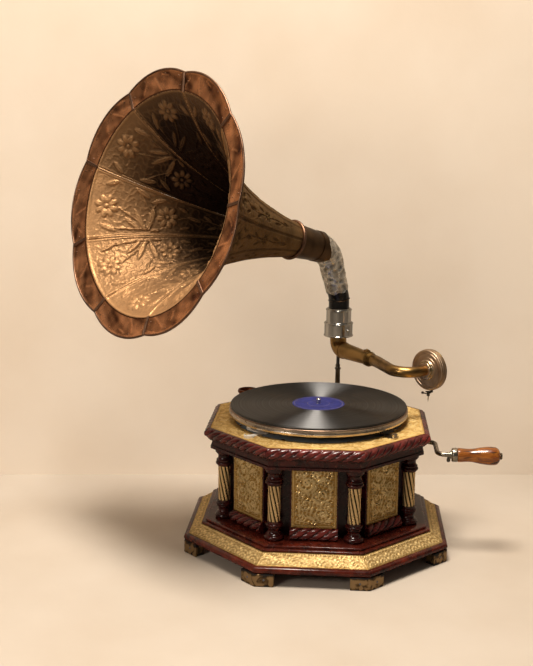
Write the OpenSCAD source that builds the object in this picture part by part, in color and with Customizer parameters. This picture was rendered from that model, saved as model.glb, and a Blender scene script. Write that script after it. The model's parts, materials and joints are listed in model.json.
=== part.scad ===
// Octagonal table gramophone with a nine-petal horn, a spring motor and a side crank.
// Millimetres, +Z up, front towards -Y. The origin is the centre of the footprint on the floor.

/* [Base] */
// Height of the corner feet
foot_h = 17.4; // [12:0.2:26]
// Length of each arm of a corner foot
foot_arm = 26; // [20:1:40]
// Depth of a foot arm, from its outer face inwards
foot_d = 15; // [10:0.5:20]
// Distance from the axis to the outer edge of the base nosing
base_apothem = 183; // [180:0.5:196]
// Height of the round base nosing
nosing_h = 9.6; // [8:0.2:13]
// Width of the brass skirt, seen from above
skirt_run = 17.5; // [14:0.5:20]
// Rise of the brass skirt
skirt_rise = 11.9; // [9:0.1:16]
// Thickness of the embossed brass sheets
sheet_t = 1; // [0.6:0.1:1.4]
// Height of one of the two steps above the skirt
step_h = 3.6; // [3:0.1:5]
// Depth of one of the two steps
step_d = 5.4; // [4.5:0.1:6]
// Thickness of the board that closes the base
bottom_t = 8; // [5:0.5:10]

/* [Cabinet] */
// Height of the storey between the base and the cornice
storey_h = 102; // [96:1:110]
// Distance from the axis to the outside of the core walls
core_apothem = 112; // [108:0.5:115]
// Thickness of the core walls
wall_t = 10; // [7:0.5:12]
// Distance from the axis to the face of the panel blocks
block_apothem = 129; // [126:0.5:131]
// Width of a panel block
block_w = 64; // [58:1:70]
// Width of a brass side panel
panel_w = 60; // [50:1:64]
// Radius of the rope moulding under each panel
panel_rope_r = 8.6; // [6:0.1:9.5]
// Distance from the axis to the column axes
column_r = 139; // [137:0.5:140]
// Radius of the fluted column shafts
shaft_r = 8.6; // [7:0.1:9.5]
// Height of a turned column base
column_base_h = 26; // [22:0.5:32]
// Height of a turned column capital
capital_h = 26; // [22:0.5:32]
// Height of the cornice
cornice_h = 16; // [12:0.5:20]
// Distance from the axis to the edge of the deck board
deck_apothem = 148; // [146:0.5:152]
// Thickness of the deck board
deck_t = 13; // [12:0.5:18]
// Radius of the rope moulding round the deck
top_rope_r = 7.6; // [6:0.1:8]
// Length of rope that one strand takes
rope_pitch = 14; // [11:0.5:18]

/* [Turntable] */
// Radius of the round motor board in the deck
motor_board_r = 119; // [114:0.5:122]
// Thickness of the motor board
motor_board_t = 5; // [3:0.5:7]
// Radius of the platter
platter_r = 126.5; // [124:0.5:130]
// Height of the platter's rim
platter_h = 9.5; // [8:0.5:12]
// Space between the deck sheet and the platter's rim
platter_gap = 9.5; // [8.5:0.5:14]
// Thickness of the platter's felt
felt_t = 0.8; // [0.5:0.1:1.5]
// Radius of the record
record_r = 125; // [100:1:127]
// Thickness of the record
record_t = 2.2; // [1.8:0.1:3]
// Radius of the record's label
label_r = 37; // [30:1:45]
// Radius of the spindle where it turns in its bearings
spindle_r = 4; // [3.8:0.1:5]
// Radius of the spindle's free end, which takes a record
record_pin_r = 3.25; // [3.1:0.05:3.3]
// Length of the spindle's free end above the record
record_pin_l = 6; // [4:0.5:10]

/* [Tonearm and soundbox] */
// Sideways place of the arm's pivot
pivot_x = 25; // [20:0.5:30]
// Place of the arm's pivot behind the spindle
pivot_y = 146; // [142:0.5:150]
// Height of the arm's centre line above the record
arm_rise = 48.5; // [46:0.5:56]
// Length of the arm, from its pivot to the gooseneck joint
arm_len = 80; // [76:0.5:84]
// Heading of the arm at rest, from +X
arm_heading = -55; // [-60:1:-50]
// Radius of the arm's upright stem
stem_r = 12.5; // [11:0.1:13]
// Radius of the arm at the gooseneck joint
arm_end_r = 9.6; // [9.2:0.1:10.2]
// Radius of the gooseneck tube
neck_r = 7.5; // [6.5:0.1:8]
// Bend radius of the gooseneck
neck_bend = 26; // [22:0.5:30]
// Straight run of the gooseneck before its bend
neck_run = 45; // [42:0.5:50]
// Radius of the soundbox
soundbox_r = 29.5; // [27:0.5:31]
// Depth of the soundbox's housing
soundbox_t = 9; // [8:0.5:12]

/* [Horn] */
// Height of the bracket collar
collar_h = 42; // [38:0.5:46]
// Radius of the collar's lower tier
collar_r = 21.5; // [20:0.1:24]
// Length of the upright foot of the elbow, over its ferrule
elbow_foot = 8.5; // [8.2:0.1:12]
// Lean of the elbow's shank from upright
elbow_lean = 19; // [14:0.5:24]
// Length of the elbow's leaning shank
elbow_run = 53.2; // [48:0.1:58]
// Bend radius of the elbow where it meets the horn
elbow_bend = 40; // [36:0.5:46]
// Outer radius of the elbow at the collar
elbow_r = 15.6; // [15.2:0.1:16.5]
// Tilt of the horn's axis above level
horn_tilt = 14.7; // [8:0.1:22]
// Heading of the horn's axis, from +X
horn_turn = 226.4; // [180:0.1:270]
// Outer radius of the horn's throat
throat_r = 21.7; // [21:0.1:24]
// Length of the horn's throat
throat_len = 58; // [50:1:66]
// Outer radius of the horn at the bead
neck_horn_r = 26; // [25:0.1:29]
// Length of the horn's petals along the axis
petal_len = 252; // [230:1:275]
// Rate at which the horn starts to widen
flare_rate = 0.0063; // [0.0055:0.0001:0.0068]
// Outer radius of the horn at the fold of the lip
fold_r = 149.7; // [140:0.5:158]
// Width of the lip at the seams
lip_w = 22.1; // [18:0.1:26]
// How far each scallop of the lip bulges past its seams
scallop = 6.2; // [3:0.1:8]
// Number of petals
petals = 9; // [8:1:10]
// Thickness of the horn's sheet
horn_t = 1; // [0.8:0.1:1.4]

/* [Crank] */
// Radius of the crank rod and the winding shaft
crank_rod_r = 3.3; // [3:0.1:4]
// Reach of the crank from its shaft to the grip
crank_reach = 58; // [45:1:70]
// Place of the winding shaft from the middle of the side
crank_y = 18; // [14:0.5:20]
// Length of the wooden grip
grip_len = 59; // [50:1:70]
// Radius of the fat end of the grip
grip_r = 12.5; // [11:0.1:14]

/* [Motor] */
// Module of the spur gears
gear_m = 1.25; // [1.2:0.01:1.3]
// Teeth of the spring barrel
barrel_teeth = 60; // [56:1:62]
// Teeth of the intermediate wheel
wheel_teeth = 48; // [46:1:50]
// Teeth of both spur pinions
pinion_teeth = 12; // [12:1:14]
// Radius of the spring barrel
barrel_r = 36; // [34:0.5:36.5]
// Height of the spring barrel's drum
drum_h = 28; // [24:1:30]
// Thickness of the mainspring's strip
spring_t = 0.8; // [0.6:0.1:1]
// Turns of the mainspring
spring_turns = 7; // [5:1:9]
// Thickness of the two motor plates
plate_t = 3; // [2.5:0.5:4]

/* [Hidden] */
$fn = 48;

// Named clearances: a sliding fit, a seat between fixed pieces, and open air
run_gap = 0.06;
seat_gap = 0.1;
air_gap = 0.5;

// Levels from the floor up
nosing_top = foot_h + nosing_h;
skirt_top = nosing_top + skirt_rise;
plinth_top = skirt_top + 2 * step_h;
cornice_z = plinth_top + storey_h;
deck_z = cornice_z + cornice_h;
deck_top = deck_z + deck_t;
sheet_top = deck_top + sheet_t;
board_z = deck_top - motor_board_t;
rim_z = sheet_top + platter_gap;
platter_top = rim_z + platter_h;
felt_top = platter_top + felt_t;
record_top = felt_top + record_t;
arm_z = record_top + arm_rise;

// Eight-sided plan
side_angle = 45;
half_side = side_angle / 2;
inner_apothem = core_apothem - wall_t;
frame_apothem = inner_apothem - 2;
ledge_apothem = frame_apothem + 20;
nosing_r = nosing_h / 2;
nosing_apothem = base_apothem - nosing_r;
skirt_apothem = base_apothem - 6.6;
skirt_in = skirt_apothem - skirt_run;
skirt_drop = sheet_t * 1.2;
skirt_slide = skirt_drop * skirt_run / skirt_rise;
step_r = step_h / 2;
step_apothem = skirt_in - step_r;
panel_face = block_apothem + sheet_t;
panel_z = plinth_top + 2 * panel_rope_r;
sheet_apothem = deck_apothem - 1;
board_lip = 7;
bottom_screw_r = 2;
bottom_screw_l = 16;
deck_screw_r = 1.5;
deck_screw_l = 10;
board_bore_r = motor_board_r - board_lip;

// Seat of the record on the spindle
record_seat_r = record_pin_r + 0.35;
record_bore_r = record_seat_r + run_gap;

// Pivot of the arm and the horn
stem_wall = 2;
stem_rise = 38;
stem_top = arm_z + stem_rise;
knuckle_bend = 14;
collar_rise = 20.5;
collar_z = arm_z + collar_rise;
collar_top = collar_z + collar_h;
collar_step = collar_z + collar_h / 2;
collar_upper_r = collar_r - 2.5;
ferrule_r = stem_r + 1.7;
post_back = 31;
post_y = pivot_y + post_back;
post_r = 4;
post_base_r = 7;
boss_r = 9;
bracket_z = plinth_top + 40;
bracket_h = 54;
bracket_w = 52;
bracket_t = 6;
bracket_arm_h = 14;
bracket_screw_in = 10;
bracket_top = bracket_z + bracket_h;
post_foot = bracket_top - bracket_arm_h;
bracket_screw_r = 2;
bracket_screw_l = 14;

// Horn along its own axis, measured from where it meets the pivot's axis
bend_turn = 90 - horn_tilt;
elbow_seat = 1.5;
elbow_z0 = collar_top + elbow_seat;
elbow_ease = 40;
shank_foot = [elbow_ease * (1 - cos(elbow_lean)), elbow_foot + elbow_ease * sin(elbow_lean)];
shank_end = shank_foot + elbow_run * [sin(elbow_lean), cos(elbow_lean)];
elbow_end = shank_end + elbow_bend * [cos(elbow_lean) - cos(bend_turn), sin(bend_turn) - sin(elbow_lean)];
horn_z = elbow_z0 + elbow_end[1] - elbow_end[0] * tan(horn_tilt);
throat_s = elbow_end[0] / cos(horn_tilt) + 1;
bead_s = throat_s + throat_len;
fold_s = bead_s + petal_len;
flare_bend = (ln(fold_r / neck_horn_r) - flare_rate * petal_len) / pow(petal_len, 2);
petal_angle = 360 / petals;
seam_gap = 0.12;

// Pressed relief of a petal: share of its length back from the fold, share of its half width, then sizes and turn
relief_t = 1.8;
relief_reach = 9;
petal_flowers = [[0.07, 0, 16], [0.34, 0.07, 15]];
petal_leaves = [[0.214, 0.34, 17, 4.2, 121], [0.267, 0.25, 15, 4, 79], [0.183, 0.51, 13, 3.6, 147],
    [0.283, 0.81, 9, 3.2, 206], [0.208, -0.735, 13, 3.6, 155], [0.286, -0.586, 11, 3.4, 200],
    [0.081, 0.668, 12, 4, 165], [0.075, -0.75, 10, 3.6, 200], [0.474, -0.09, 11, 3.2, 170]];
seam_angle = 13.77;
lip_rise = 0.185;
lip_seam_r = fold_r + lip_w;
lip_out_r = lip_seam_r + scallop;
seam_x = lip_seam_r * cos(petal_angle / 2);
scallop_c = (lip_seam_r * lip_seam_r - lip_out_r * lip_out_r) / (2 * (seam_x - lip_out_r));
elbow_wall = 2;
elbow_end_r = throat_r - horn_t - seat_gap;
elbow_swell = 2.6;
elbow_steps = 14;
elbow_tail = 16;
ease_len = elbow_ease * elbow_lean * PI / 180;
bend_len = elbow_bend * (bend_turn - elbow_lean) * PI / 180;
elbow_total = elbow_foot + ease_len + elbow_run + bend_len;
sleeve_t = 1.2;
sleeve_first = 3;

// Gooseneck and soundbox, in the arm's own frame with x along the arm
joint_gap = 0.3;
neck_lead = 14;
neck_base = 11;
neck_ease = 14;
neck_ease_r = 45;
neck_turn = 98.6;
neck_tail = 8;
neck_socket = 12;
hub_r = 14.5;
hub_t = 5;
ease_end = [neck_lead + neck_ease_r * sin(neck_ease), neck_ease_r * (cos(neck_ease) - 1)];
run_end = ease_end + neck_run * [cos(neck_ease), -sin(neck_ease)];
bend_c = run_end + neck_bend * [sin(neck_ease), cos(neck_ease)];
bend_end = bend_c + neck_bend * [sin(neck_turn), -cos(neck_turn)];
tail_end = bend_end + neck_tail * [cos(neck_turn), sin(neck_turn)];
back_t = 3;
gasket_t = 1.2;
diaphragm_t = 0.4;
ring_wall = 4;
bar_drop = soundbox_r + 9;
chuck_z = hub_t + soundbox_t / 2 + 1;
chuck_l = 7;
screw_drop = bar_drop - 2.5;
needle_screw_r = 0.8;
needle_r = 0.9;
needle_tip = arm_rise - 1.4;

// Motor plan
wheel_d = gear_m * (wheel_teeth + pinion_teeth) / 2;
barrel_d = gear_m * (barrel_teeth + pinion_teeth) / 2;
barrel_x = 58;
barrel_pos = [barrel_x, crank_y];
barrel_reach = norm(barrel_pos);
barrel_dir = atan2(crank_y, barrel_x);
wheel_dir = barrel_dir - acos((wheel_d * wheel_d + barrel_reach * barrel_reach - barrel_d * barrel_d)
    / (2 * wheel_d * barrel_reach));
wheel_pos = wheel_d * [cos(wheel_dir), sin(wheel_dir)];
mesh_dir = atan2(crank_y - wheel_pos[1], barrel_x - wheel_pos[0]);
gear_t = 4;
plate_x0 = -54;
plate_x1 = 92;
plate_y0 = -50;
plate_y1 = 66;
plate_cut = 28;
pillar_r = 3.5;
pillar_in = 8;
stud_r = 2;
wheel_shaft_r = 2.5;
pillars_at = [[plate_x0 + pillar_in, plate_y0 + pillar_in], [plate_x0 + pillar_in, plate_y1 - 3 * pillar_in],
    [plate_x1 - pillar_in, plate_y0 + pillar_in], [plate_x1 - plate_cut - 50, plate_y1 - pillar_in]];
crown_teeth = 36;
crown_r = 24;
crown_face = 4;
crown_t = 3;
crown_pitch = 2 * PI * crown_r / crown_teeth;
crown_m = crown_pitch / PI;
crown_root = 1.3 * crown_m;
bevel_teeth = 14;
bevel_r = crown_m * bevel_teeth / 2;

// Motor levels, from the winding shaft down to the bottom plate
crank_drop = 5.6;
crank_z = cornice_z - crank_drop;
top_plate_rise = 12;
top_plate_z = crank_z + top_plate_rise;
crown_z = crank_z - bevel_r;
cover_gap = 3.3333;
drum_z = crown_z - crown_root - crown_t - cover_gap - drum_h;
drum_lift = 15;
train_z = drum_z - drum_lift;
train_lift = 5;
plate_z = train_z - train_lift - plate_t;
arbor_r = 4;
worm_starts = 2;
worm_teeth = 24;
worm_m = 1.5;
worm_r = 6;
worm_wheel_r = worm_m * worm_teeth / 2;
governor_x = -worm_wheel_r - worm_r;
governor_z = drum_z + 15;
governor_y0 = -44;
governor_y1 = 44;
governor_r = 2;
spring_in_r = 9;
drum_wall = 2;

// Crank outside the cabinet
bush_r = 5.2;
flange_r = 13;
bush_out = panel_face + 4;
crank_bend = 12;
crank_bend_x = deck_apothem + top_rope_r;
crank_pin_x = crank_bend_x + 2 * crank_bend;
ferrule_l = 8;
grip_x = crank_pin_x + 15;

// Levers on the deck
lever_t = 2;
lever_pin_r = 3;
lever_eye_r = 6;
lever_w = 8;
brake_dir = 229.1;
brake_pivot_r = 108;
brake_reach = 29;
brake_arm = 27;
speed_dir = -40.2;
speed_pivot_r = 108;
speed_reach = 29;
lever_z = sheet_top + seat_gap;
cup_dir = 138.6;
cup_r = 15.5;
cup_axis_r = platter_r + cup_r + 4;

function corner(apothem) = apothem / cos(half_side);
function horn_radius(s) = neck_horn_r * exp(flare_rate * (s - bead_s) + flare_bend * pow(s - bead_s, 2));
// Points of a half-round moulding's edge, from its lower to its upper end
function half_round(c, r) = [for (a = [-90:22.5:90]) c + r * [cos(a), sin(a)]];
function involute(a) = tan(a) * 180 / PI - a;
function flank(r, base) = r <= base ? 0 : involute(acos(base / r));

// Outline of an involute gear with a tooth centred on +X and play between the flanks
function gear_outline(teeth, m, play = 0.5) =
    let (rp = m * teeth / 2, base = rp * cos(20), ra = rp + 0.9 * m, rf = rp - 1.3 * m)
    let (half = 90 / teeth - 45 * play / (PI * rp) + involute(20))
    let (rs = max(base, rf + 0.1))
    [for (i = [0:teeth - 1]) let (c = 360 * i / teeth)
        for (p = [[rf, -half], [rs, -half], [rp, flank(rp, base) - half], [ra, flank(ra, base) - half],
            [ra, half - flank(ra, base)], [rp, half - flank(rp, base)], [rs, half], [rf, half]])
        p[0] * [cos(c + p[1]), sin(c + p[1])]];

// Ring of points about p in the plane of u and v
sweep_sides = 16;
function ring_points(p, u, v, r) =
    [for (i = [0:sweep_sides - 1]) let (a = 360 * i / sweep_sides) p + r * (cos(a) * u + sin(a) * v)];

// Tube whose outside and inside run through the given rings
module swept_tube(outer, inner) {
    n = sweep_sides;
    half = len(outer) * n;
    last = half - n;
    quads = concat(
        [for (k = [0:len(outer) - 2], i = [0:n - 1]) let (j = (i + 1) % n, a = k * n)
            [a + i, a + n + i, a + n + j, a + j]],
        [for (k = [0:len(outer) - 2], i = [0:n - 1]) let (j = (i + 1) % n, a = half + k * n)
            [a + i, a + j, a + n + j, a + n + i]],
        [for (i = [0:n - 1]) let (j = (i + 1) % n) [i, j, half + j, half + i]],
        [for (i = [0:n - 1]) let (j = (i + 1) % n) [last + i, half + last + i, half + last + j, last + j]]);
    polyhedron([for (r = concat(outer, inner)) each r],
        [for (q = quads) each [[q[0], q[1], q[2]], [q[0], q[2], q[3]]]]);
}

module octagon(apothem) {
    rotate(half_side) circle(r = corner(apothem), $fn = 8);
}

module octagon_plate(apothem, h) {
    linear_extrude(height = h) octagon(apothem);
}

module each_side() {
    for (k = [0:7]) rotate(side_angle * k) children();
}

module each_corner() {
    for (k = [0:7]) rotate(half_side + side_angle * k) children();
}

// Plan of one side of the cabinet, from the axis out to the given distance
module side_wedge(reach, h) {
    linear_extrude(height = h) polygon([[0, 0], reach * [-tan(half_side), -1], reach * [tan(half_side), -1]]);
}

// A moulding whose profile gives distance from the axis and height, mitred at the eight corners
module mitred_ring() {
    rotate(half_side) rotate_extrude($fn = 8) scale([1 / cos(half_side), 1]) children();
}

// Twisted bar along X with the strands leaning to the right on its front
module rope(length, r) {
    strands = 4;
    turn = 360 * length / (strands * rope_pitch);
    steps = ceil(turn / 26);
    rotate([0, 90, 0]) linear_extrude(height = length, center = true, twist = turn, slices = steps, $fn = 8)
        polygon([for (i = [0:2 * strands - 1]) let (q = i % 2 == 0 ? r : 0.78 * r, a = 180 * i / strands)
            q * [cos(a), sin(a)]]);
}

module tube(r, wall, h) {
    difference() {
        cylinder(r = r, h = h);
        translate([0, 0, -1]) cylinder(r = r - wall, h = h + 2);
    }
}

module ring(r_in, r_out, h) {
    difference() {
        cylinder(r = r_out, h = h, $fn = 96);
        translate([0, 0, -1]) cylinder(r = r_in, h = h + 2, $fn = 96);
    }
}

module gear(teeth, m, h) {
    linear_extrude(height = h) polygon(gear_outline(teeth, m));
}

// Countersunk wood screw with its head's top at the origin, pointing down
module screw(r, l) {
    translate([0, 0, -l]) cylinder(r = r, h = l);
    translate([0, 0, -r]) cylinder(r1 = r, r2 = 2 * r, h = r);
}

// Hole for such a screw, open above
module screw_hole(r, l) {
    translate([0, 0, -l - seat_gap]) cylinder(r = r + seat_gap / 2, h = l + 1);
    translate([0, 0, -r - seat_gap / 2])
        cylinder(r1 = r + seat_gap / 2, r2 = 2 * r + seat_gap, h = r + seat_gap);
}

module feet() {
    r = corner(base_apothem - 0.5);
    s = sin(half_side);
    c = cos(half_side);
    outer = [r - foot_arm * s, foot_arm * c];
    inner = outer - foot_d * [c, s];
    color("goldenrod") each_corner() linear_extrude(height = foot_h) polygon([[r, 0], outer, inner,
        [r - foot_d / c, 0], [inner[0], -inner[1]], [outer[0], -outer[1]]]);
}

module plinth() {
    color("maroon") difference() {
        mitred_ring() polygon(concat(
            [[frame_apothem, foot_h + bottom_t], [ledge_apothem, foot_h + bottom_t], [ledge_apothem, foot_h]],
            half_round([nosing_apothem, foot_h + nosing_r], nosing_r),
            [[skirt_apothem - skirt_slide, nosing_top], [skirt_in, skirt_top - skirt_drop],
                [step_apothem, skirt_top - skirt_drop]],
            half_round([step_apothem, skirt_top + step_r], step_r),
            half_round([step_apothem - step_d, skirt_top + step_h + step_r], step_r),
            [[frame_apothem, plinth_top]]));
        bottom_screw_places() screw_hole(bottom_screw_r, bottom_screw_l);
    }
}

module bottom_screw_places() {
    each_side() translate([0, (frame_apothem + ledge_apothem) / 2, foot_h]) rotate([180, 0, 0]) children();
}

module bottom_board() {
    color("saddlebrown") difference() {
        translate([0, 0, foot_h]) octagon_plate(ledge_apothem - seat_gap, bottom_t);
        bottom_screw_places() screw_hole(bottom_screw_r, bottom_screw_l);
    }
}

module bottom_screws() {
    color("silver") bottom_screw_places() screw(bottom_screw_r, bottom_screw_l);
}

module base_skirt() {
    color("gold") mitred_ring() polygon([[skirt_apothem, nosing_top],
        [skirt_in, skirt_top], [skirt_in, skirt_top - skirt_drop], [skirt_apothem - skirt_slide, nosing_top]]);
}

// Bore through the side wall for the winding shaft's bush
module shaft_bore(r) {
    translate([0, crank_y, crank_z]) rotate([0, 90, 0]) cylinder(r = r, h = 2 * base_apothem);
}

module cabinet_walls() {
    color("maroon") difference() {
        translate([0, 0, plinth_top]) octagon_plate(core_apothem, storey_h);
        translate([0, 0, plinth_top - 1]) octagon_plate(inner_apothem, storey_h + 2);
        shaft_bore(bush_r + seat_gap);
    }
}

module panel_blocks() {
    color("darkred") difference() {
        each_side() translate([-block_w / 2, -block_apothem, plinth_top])
            cube([block_w, block_apothem - core_apothem, storey_h]);
        shaft_bore(bush_r + seat_gap);
        bracket_screw_places() screw_hole(bracket_screw_r, bracket_screw_l);
    }
}

module side_panels() {
    color("darkgoldenrod") difference() {
        each_side() translate([-panel_w / 2, -panel_face, panel_z])
            cube([panel_w, sheet_t, cornice_z - panel_z]);
        shaft_bore(bush_r + seat_gap);
        bracket_screw_places() screw_hole(bracket_screw_r, bracket_screw_l);
    }
}

module panel_ropes() {
    color("firebrick") each_side() intersection() {
        translate([0, -block_apothem, plinth_top + panel_rope_r]) rope(block_w, panel_rope_r);
        translate([-block_w / 2, -block_apothem - 2 * panel_rope_r, plinth_top])
            cube([block_w, 2 * panel_rope_r, 2 * panel_rope_r]);
    }
}

module column_places(z) {
    each_corner() translate([column_r, 0, z]) children();
}

module column_bases() {
    foot_r = 13;
    color("maroon") column_places(plinth_top) rotate_extrude() difference() {
        union() {
            square([shaft_r + 1, column_base_h]);
            square([foot_r - 3, 7]);
            translate([foot_r - 3, 3.5]) circle(r = 3.5);
            translate([0, column_base_h - 8]) square([shaft_r + 1, 8]);
            translate([shaft_r + 1, column_base_h - 5]) circle(r = 2.2);
            translate([0, 7]) square([shaft_r + 2, column_base_h - 15]);
        }
        translate([shaft_r + 5, column_base_h / 2 - 0.5]) circle(r = 5.5);
        translate([-2 * foot_r, -1]) square([2 * foot_r, column_base_h + 2]);
    }
}

module column_shafts() {
    flutes = 9;
    flute_twist = 1.6;
    shaft_h = storey_h - column_base_h - capital_h;
    color("gold") column_places(plinth_top + column_base_h)
        linear_extrude(height = shaft_h, twist = -flute_twist * shaft_h, slices = 6, $fn = 8)
        polygon([for (i = [0:2 * flutes - 1])
            let (q = i % 2 == 0 ? shaft_r : 0.84 * shaft_r, a = 180 * i / flutes) q * [cos(a), sin(a)]]);
}

module column_capitals() {
    head_r = 12.5;
    color("maroon") column_places(cornice_z - capital_h) rotate_extrude() difference() {
        union() {
            square([shaft_r + 1, capital_h]);
            translate([shaft_r + 1, 4]) circle(r = 2.6);
            translate([0, 7]) square([shaft_r + 2.5, capital_h - 13]);
            translate([0, capital_h - 6]) square([head_r, 6]);
        }
        translate([shaft_r + 6, capital_h / 2 + 0.5]) circle(r = 6);
        translate([-2 * head_r, -1]) square([2 * head_r, capital_h + 2]);
    }
}

module cornice() {
    band = cornice_h / 4;
    edge = deck_apothem + 2;
    cove = [for (a = [180:-30:90]) [edge, cornice_h - band] + band / 2 * [cos(a), sin(a)]];
    color("maroon") translate([0, 0, cornice_z]) mitred_ring() polygon(concat(
        [[inner_apothem, 0], [edge - 3, 0], [edge - 3, band], [edge - 5, band], [edge - 5, cornice_h - band]], cove,
        [[edge, cornice_h], [inner_apothem, cornice_h]]));
}

module deck_board() {
    color("maroon") difference() {
        translate([0, 0, deck_z]) octagon_plate(deck_apothem, deck_t);
        translate([0, 0, deck_z - 1]) cylinder(r = board_bore_r, h = deck_t + 2, $fn = 96);
        translate([0, 0, board_z]) cylinder(r = motor_board_r + seat_gap, h = deck_t, $fn = 96);
        deck_screw_places() screw_hole(deck_screw_r, deck_screw_l);
    }
}

module top_rope() {
    color("firebrick") each_side() intersection() {
        translate([0, -deck_apothem, deck_top - top_rope_r + 1])
            rope(2 * (deck_apothem + top_rope_r) * tan(half_side), top_rope_r);
        difference() {
            translate([0, 0, deck_z - top_rope_r]) side_wedge(deck_apothem + 2 * top_rope_r, 3 * top_rope_r);
            translate([0, 0, deck_z - 2 * top_rope_r]) side_wedge(deck_apothem, 5 * top_rope_r);
            translate([-deck_apothem, -2 * deck_apothem, deck_z - 2 * top_rope_r])
                cube([2 * deck_apothem, 2 * deck_apothem, 2 * top_rope_r]);
        }
    }
}

module deck_sheet() {
    color("gold") difference() {
        translate([0, 0, deck_top]) octagon_plate(sheet_apothem, sheet_t);
        translate([0, 0, deck_top - 1]) cylinder(r = motor_board_r, h = sheet_t + 2, $fn = 96);
    }
}

module deck_screw_places() {
    each_corner() translate([motor_board_r - board_lip / 2, 0, deck_top]) children();
}

// Place of a deck lever's pivot, with x pointing outwards
module lever_place(dir, pivot_r) {
    rotate(dir) translate([pivot_r, 0, 0]) children();
}

// Holes for the studs of the motor's pillars
module stud_holes(z, t) {
    for (p = pillars_at) translate([p[0], p[1], z - 1]) cylinder(r = stud_r + seat_gap, h = t + 2);
}

module motor_board() {
    color("black") difference() {
        translate([0, 0, board_z]) cylinder(r = motor_board_r, h = motor_board_t, $fn = 96);
        translate([0, 0, board_z - 1]) cylinder(r = spindle_r + air_gap, h = motor_board_t + 2);
        deck_screw_places() screw_hole(deck_screw_r, deck_screw_l);
        for (p = [[brake_dir, brake_pivot_r], [speed_dir, speed_pivot_r]])
            lever_place(p[0], p[1]) translate([0, 0, board_z - 1])
                cylinder(r = lever_pin_r + run_gap, h = motor_board_t + 2);
        stud_holes(board_z, motor_board_t);
    }
}

module deck_screws() {
    color("silver") deck_screw_places() screw(deck_screw_r, deck_screw_l);
}

module needle_cup() {
    color("sienna") rotate(cup_dir) translate([cup_axis_r, 0, sheet_top]) rotate_extrude() difference() {
        union() {
            square([9, 3]);
            polygon([[0, 0], [9, 3], [cup_r - 3, 7], [cup_r, 12], [cup_r - 1, 15], [0, 15]]);
        }
        polygon([[0, 5], [cup_r - 6, 7], [cup_r - 3, 12], [cup_r - 3, 16], [0, 16]]);
    }
}

module bracket_screw_places() {
    for (x = [-1, 1] * (bracket_w / 2 - bracket_screw_in), z = [1, bracket_h / bracket_screw_in - 2])
        translate([x, panel_face + bracket_t, bracket_z + z * bracket_screw_in]) rotate([-90, 0, 0]) children();
}

module back_bracket() {
    color("dimgray") difference() {
        union() {
            translate([-bracket_w / 2, panel_face, bracket_z]) cube([bracket_w, bracket_t, bracket_h]);
            translate([pivot_x - 5, panel_face, post_foot]) cube([10, post_y - panel_face, bracket_arm_h]);
            translate([pivot_x, post_y, post_foot]) cylinder(r = boss_r, h = bracket_arm_h);
            translate([pivot_x - 3, panel_face + bracket_t, post_foot])
                rotate([90, 180, 90]) linear_extrude(height = 6) polygon([[0, 0], [-26, 0], [0, 30]]);
        }
        translate([pivot_x, post_y, post_foot - 1]) cylinder(r = post_r + seat_gap / 2, h = bracket_arm_h + 2);
        bracket_screw_places() screw_hole(bracket_screw_r, bracket_screw_l);
    }
}

module bracket_screws() {
    color("silver") bracket_screw_places() screw(bracket_screw_r, bracket_screw_l);
}

module support_post() {
    top = collar_z + 3;
    bead_z = record_top + 10;
    color("black") translate([pivot_x, post_y, 0]) rotate_extrude() difference() {
        union() {
            translate([0, post_foot]) square([post_r, top + 14 - post_foot]);
            translate([0, bracket_top]) square([post_base_r, 5]);
            translate([0, bracket_top + 5]) square([post_r + 1, bead_z - bracket_top - 5]);
            translate([post_r, bead_z]) circle(r = 1.8);
            translate([post_r, bead_z + 5]) circle(r = 1.2);
            translate([0, top - 4]) square([post_base_r, 4]);
        }
        translate([-20, 0]) square([20, 3 * top]);
    }
}

module collar() {
    lug_h = 10;
    bead = 1.4;
    color("silver") difference() {
        union() {
            translate([pivot_x, pivot_y, 0]) rotate_extrude() union() {
                translate([0, collar_z]) square([collar_r, collar_h / 2]);
                translate([0, collar_step]) square([collar_upper_r, collar_h / 2]);
                translate([collar_r - bead / 2, collar_z + bead]) circle(r = bead);
                translate([collar_r - bead / 2, collar_step - bead]) circle(r = bead);
                translate([collar_upper_r - bead / 2, collar_top - bead]) circle(r = bead);
            }
            translate([pivot_x - 5, pivot_y, collar_z + 3]) cube([10, post_y - pivot_y, lug_h]);
            translate([pivot_x, post_y, collar_z + 3]) cylinder(r = boss_r, h = lug_h);
        }
        translate([pivot_x, pivot_y, collar_z - 1]) cylinder(r = stem_r + run_gap, h = collar_h + 2);
        translate([pivot_x, pivot_y, stem_top - 4]) cylinder(r = ferrule_r + run_gap, h = collar_h);
        translate([pivot_x, post_y, collar_z]) cylinder(r = post_r + seat_gap / 2, h = 4 * lug_h);
    }
}

module crank_bush() {
    color("silver") translate([0, crank_y, crank_z]) rotate([0, 90, 0]) difference() {
        union() {
            translate([0, 0, inner_apothem]) cylinder(r = bush_r, h = bush_out - inner_apothem);
            translate([0, 0, panel_face]) intersection() {
                cylinder(r = flange_r, h = bush_out - panel_face - 1);
                translate([seat_gap - crank_drop, -flange_r, -1]) cube([2 * flange_r, 2 * flange_r, 20]);
            }
        }
        translate([0, 0, inner_apothem - 1]) cylinder(r = crank_rod_r + run_gap, h = bush_out);
    }
}

// Plan of a motor plate
module plate_plan() {
    polygon([[plate_x0, plate_y0], [plate_x1, plate_y0], [plate_x1, plate_y1 - plate_cut],
        [plate_x1 - plate_cut, plate_y1], [plate_x0, plate_y1]]);
}

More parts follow.
